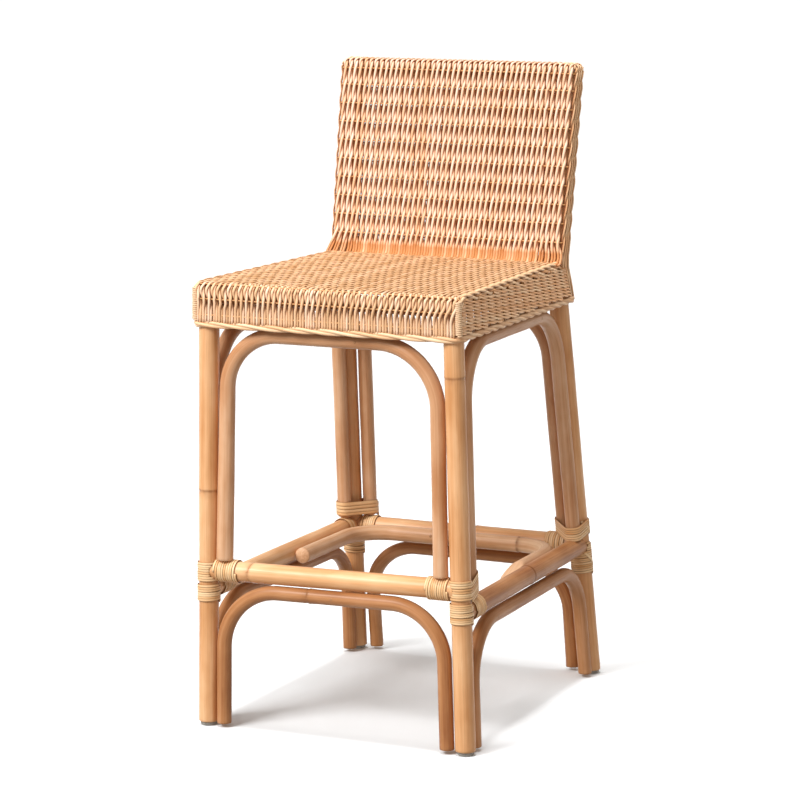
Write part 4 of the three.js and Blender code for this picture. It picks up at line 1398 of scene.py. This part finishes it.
def build_border(strand):
    """Three strands laid as a rope, with a longer lay along the front."""
    bundle = Bundle()
    rng = np.random.default_rng(161)
    line = border_line(ROPE_AXIS)
    place = along(line, np.arange(0, run_of(line)[-1], ROPE_STEP))
    ahead = unit(np.roll(place, -1, axis=0) - np.roll(place, 1, axis=0))
    outward = unit(np.cross(ahead, [0, 0, 1.0]))
    at_front = smooth((SEAT_FRONT + 22 - place[:, 1]) / 10)
    lay = lerp(ROPE_LAY["side"], ROPE_LAY["front"], at_front)
    twist = -np.cumsum(2 * np.pi / lay * ROPE_STEP)
    # A whole number of turns, so that the closed strands meet themselves.
    twist = twist * (round(twist[-1] / (2 * np.pi)) * 2 * np.pi / twist[-1])
    place[:, 2] = BORDER_TOP - 4.9
    for k in range(3):
        turn = twist + k * 2 * np.pi / 3
        centre = place + outward * (ROPE_SWELL * np.cos(turn))[:, None] * 0.8
        centre[:, 2] += ROPE_SWELL * np.sin(turn)
        bundle.tube(centre, outward, 2.7, 2.55, 0.25 + 0.25 * k, sides=10, closed=True,
                    shift=rng.uniform(0, 9))
    bundle.build("seat_border_rope", [strand], replaces=["seat_border"])


POST_BESIDE_LEG = (14.2, -14.6)
POST_TOP = 652.0
POST_CORE_R = 3.4
POST_WINDING_R = 4.1
POST_PITCH = 2.75


def build_corner_posts(strand):
    """A round core at each front corner, wound with one long thin strand."""
    for seed, (word, side) in enumerate(SIDES.items()):
        bundle = Bundle()
        rng = np.random.default_rng(171 + seed)
        low = beside(front_leg_at(side, BORDER_TOP + 0.5), *POST_BESIDE_LEG)
        high = beside(front_leg_at(side, POST_TOP), *POST_BESIDE_LEG)
        ahead, across, up = transported(np.linspace(low, high, 3))
        core = np.linspace(low, high, 8)
        bundle.tube(core, np.repeat(up[:1], 8, axis=0), POST_CORE_R, POST_CORE_R, 0.5, sides=12)
        turns = np.linalg.norm(high - low) / POST_PITCH
        angle = np.linspace(0, 2 * np.pi * turns, int(turns * 16))
        outward = across[0] * np.cos(angle)[:, None] + up[0] * np.sin(angle)[:, None]
        climb = (angle / (2 * np.pi) * POST_PITCH)[:, None]
        centre = low + ahead[0] * climb + outward * POST_WINDING_R
        bundle.tube(centre, outward, 1.42, 1.25, 0.9, sides=6, shift=rng.uniform(0, 9))
        bundle.build(f"corner_post_wound_{word}", [strand],
                     replaces=[f"corner_post_{word}"])


# ---------------------------------------------------------------- stage, light and camera


def build_stage():
    """A wide white floor just under the feet."""
    mesh = bpy.data.meshes.new("floor")
    size = 45.0
    mesh.from_pydata([(-size, -size, 0), (size, -size, 0), (size, size, 0), (-size, size, 0)], [],
                     [(0, 1, 2, 3)])
    floor = bpy.data.objects.new("floor", mesh)
    floor.location.z = -0.0002
    floor.visible_diffuse = False
    mesh.materials.append(floor_material())
    bpy.context.scene.collection.objects.link(floor)


def add_area(name, location, target, size, power):
    light = bpy.data.lights.new(name, "AREA")
    light.shape = "RECTANGLE"
    light.size, light.size_y = size
    light.energy = power
    lamp = bpy.data.objects.new(name, light)
    lamp.location = location
    lamp.rotation_euler = (Vector(target) - Vector(location)).to_track_quat("-Z", "Y").to_euler()
    bpy.context.scene.collection.objects.link(lamp)


# The studio's colours below, at and above the horizon, the power of its two lamps, and how soft
# and how tilted the overhead one is, in degrees.
BOUNCE = (0.38, 0.34, 0.295, 1.0)
HORIZON = (0.56, 0.50, 0.432, 1.0)
ZENITH = (0.62, 0.62, 0.62, 1.0)
BOUNCE_UP_TO = 0.46
HORIZON_AT = 0.52
OVERHEAD = 2.05
OVERHEAD_SOFTNESS = 9.0
OVERHEAD_TILT = 4.0
KEY = 252.0

# The camera's place in metres, its direction in degrees and its lens in millimetres.
CAMERA_PLACE = (1.9234, -4.3281, 1.2536)
CAMERA_AZIMUTH = 24.04
CAMERA_ELEVATION = 9.52
CAMERA_LENS = 144.82
CAMERA_SENSOR = 36.0


def build_light():
    """A soft white studio: a shaded sky, an overhead sun and a broad lamp at the front left."""
    world = bpy.data.worlds.new("studio")
    bpy.context.scene.world = world
    world.use_nodes = True
    tree = world.node_tree
    background = tree.nodes["Background"]
    place = tree.nodes.new("ShaderNodeTexCoord")
    split = tree.nodes.new("ShaderNodeSeparateXYZ")
    ramp = tree.nodes.new("ShaderNodeValToRGB")
    tree.links.new(place.outputs["Generated"], split.inputs[0])
    height = tree.nodes.new("ShaderNodeMapRange")
    height.inputs["From Min"].default_value = -1.0
    tree.links.new(split.outputs["Z"], height.inputs["Value"])
    tree.links.new(height.outputs["Result"], ramp.inputs["Fac"])
    elements = ramp.color_ramp.elements
    elements[0].position = BOUNCE_UP_TO
    elements[0].color = BOUNCE
    elements[1].position = 1.0
    elements[1].color = ZENITH
    elements.new(HORIZON_AT).color = HORIZON
    tree.links.new(ramp.outputs["Color"], background.inputs["Color"])
    sun = bpy.data.lights.new("overhead", "SUN")
    sun.energy = OVERHEAD
    sun.angle = math.radians(OVERHEAD_SOFTNESS)
    lamp = bpy.data.objects.new("overhead", sun)
    bpy.context.scene.collection.objects.link(lamp)
    lamp.rotation_euler.x = math.radians(OVERHEAD_TILT)
    add_area("key_left", (-1.8, -3.6, 3.3), (0.0, 0.0, 0.5), (2.2, 1.6), KEY)


def build_camera():
    """The camera stands front right of the stool, a little above the seat."""
    camera = bpy.data.objects.new("camera", bpy.data.cameras.new("camera"))
    camera.data.lens = CAMERA_LENS
    camera.data.sensor_width = CAMERA_SENSOR
    camera.location = CAMERA_PLACE
    elevation = math.radians(CAMERA_ELEVATION)
    camera.rotation_euler = (math.pi / 2 - elevation, 0.0, math.radians(CAMERA_AZIMUTH))
    camera.data.clip_end = 60.0
    bpy.context.scene.collection.objects.link(camera)
    bpy.context.scene.camera = camera


def dress_frame(frame, rail, glide):
    """The rails and glides keep their CAD shape and take a worked material."""
    for name, node in frame["nodes"].items():
        if node.hide_render:
            continue
        node.data.materials.clear()
        node.data.materials.append(glide if name.startswith("glide") else rail)


def main():
    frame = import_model()
    pole_cane = cane_material("rattan_pole", "edbd8e", "e0a977", "cc905b", "8a5328")
    hoop_cane = cane_material("rattan_hoop", "deb38f", "cf9d75", "b98156", "7d4e2b", gloss=0.38)
    pale_cane = cane_material("rattan_pale", "e8c09a", "daa981", "c28c60", "8a5a38", gloss=0.38)
    # A darker brown cane: on the lower hoops partly their own tone, partly painted shade; on the right
    # stretcher painted shade.
    brown_and_shaded_cane = cane_material("rattan_brown_and_shaded", "c48e64", "b47c4e", "985f36", "744522", gloss=0.38)
    rail_cane = cane_material("rattan_rail", "d9a873", "c48d58", "a5713f", "7a4a25", on_tubes=False)
    # The last colour of each strand material is painted shade for its crevices and inner sides.
    weave = strand_material("woven_strand", "f8dcc8", "f5cfb3", "eabb93", "c4824b", "c88048")
    seat = strand_material("seat_strand", "f8d7bb", "efc299", "dab085", "ca9866", "a86a38")
    # A brighter, warmer copy of the strand for the side rows of seat and back: painted light, lifting
    # sides that lie in shade.
    apron = strand_material("side_strand_painted_light", "ffdfb8", "fdcfa0", "f0b883", "da9a60", "96562a")
    weft = strand_material("stake_strand", "e8bd8c", "dca873", "c98f57", "b97c45", "8a4e22")
    trim = strand_material("border_strand", "f9dab6", "f1c89e", "e2ae7e", "c98a55", "a5683a")
    # The peel strip's broad crevice shade span paints shade along the edges of each turn, as painted
    # shade between the turns.
    peel = strand_material("peel_strip", "f7d8ac", "eec594", "dfab74", "cc9058", "8c5528",
                           gloss=0.42, reach=(0.62, 0.97))
    putty = putty_material()
    build_legs(pole_cane)
    build_stretchers(pole_cane, brown_and_shaded_cane)
    build_brace(pale_cane, putty)
    build_hoops(hoop_cane, brown_and_shaded_cane, putty)
    build_bindings(peel)
    build_seat_weave(seat)
    build_seat_sides(apron)
    build_seat_stakes(weft)
    build_back_weave(weave)
    build_back_sides(apron)
    build_back_stakes(weft)
    build_border(trim)
    build_corner_posts(trim)
    dress_frame(frame, rail_cane, glide_material())
    build_stage()
    build_light()
    build_camera()
    bpy.context.scene.view_settings.view_transform = "Standard"


main()
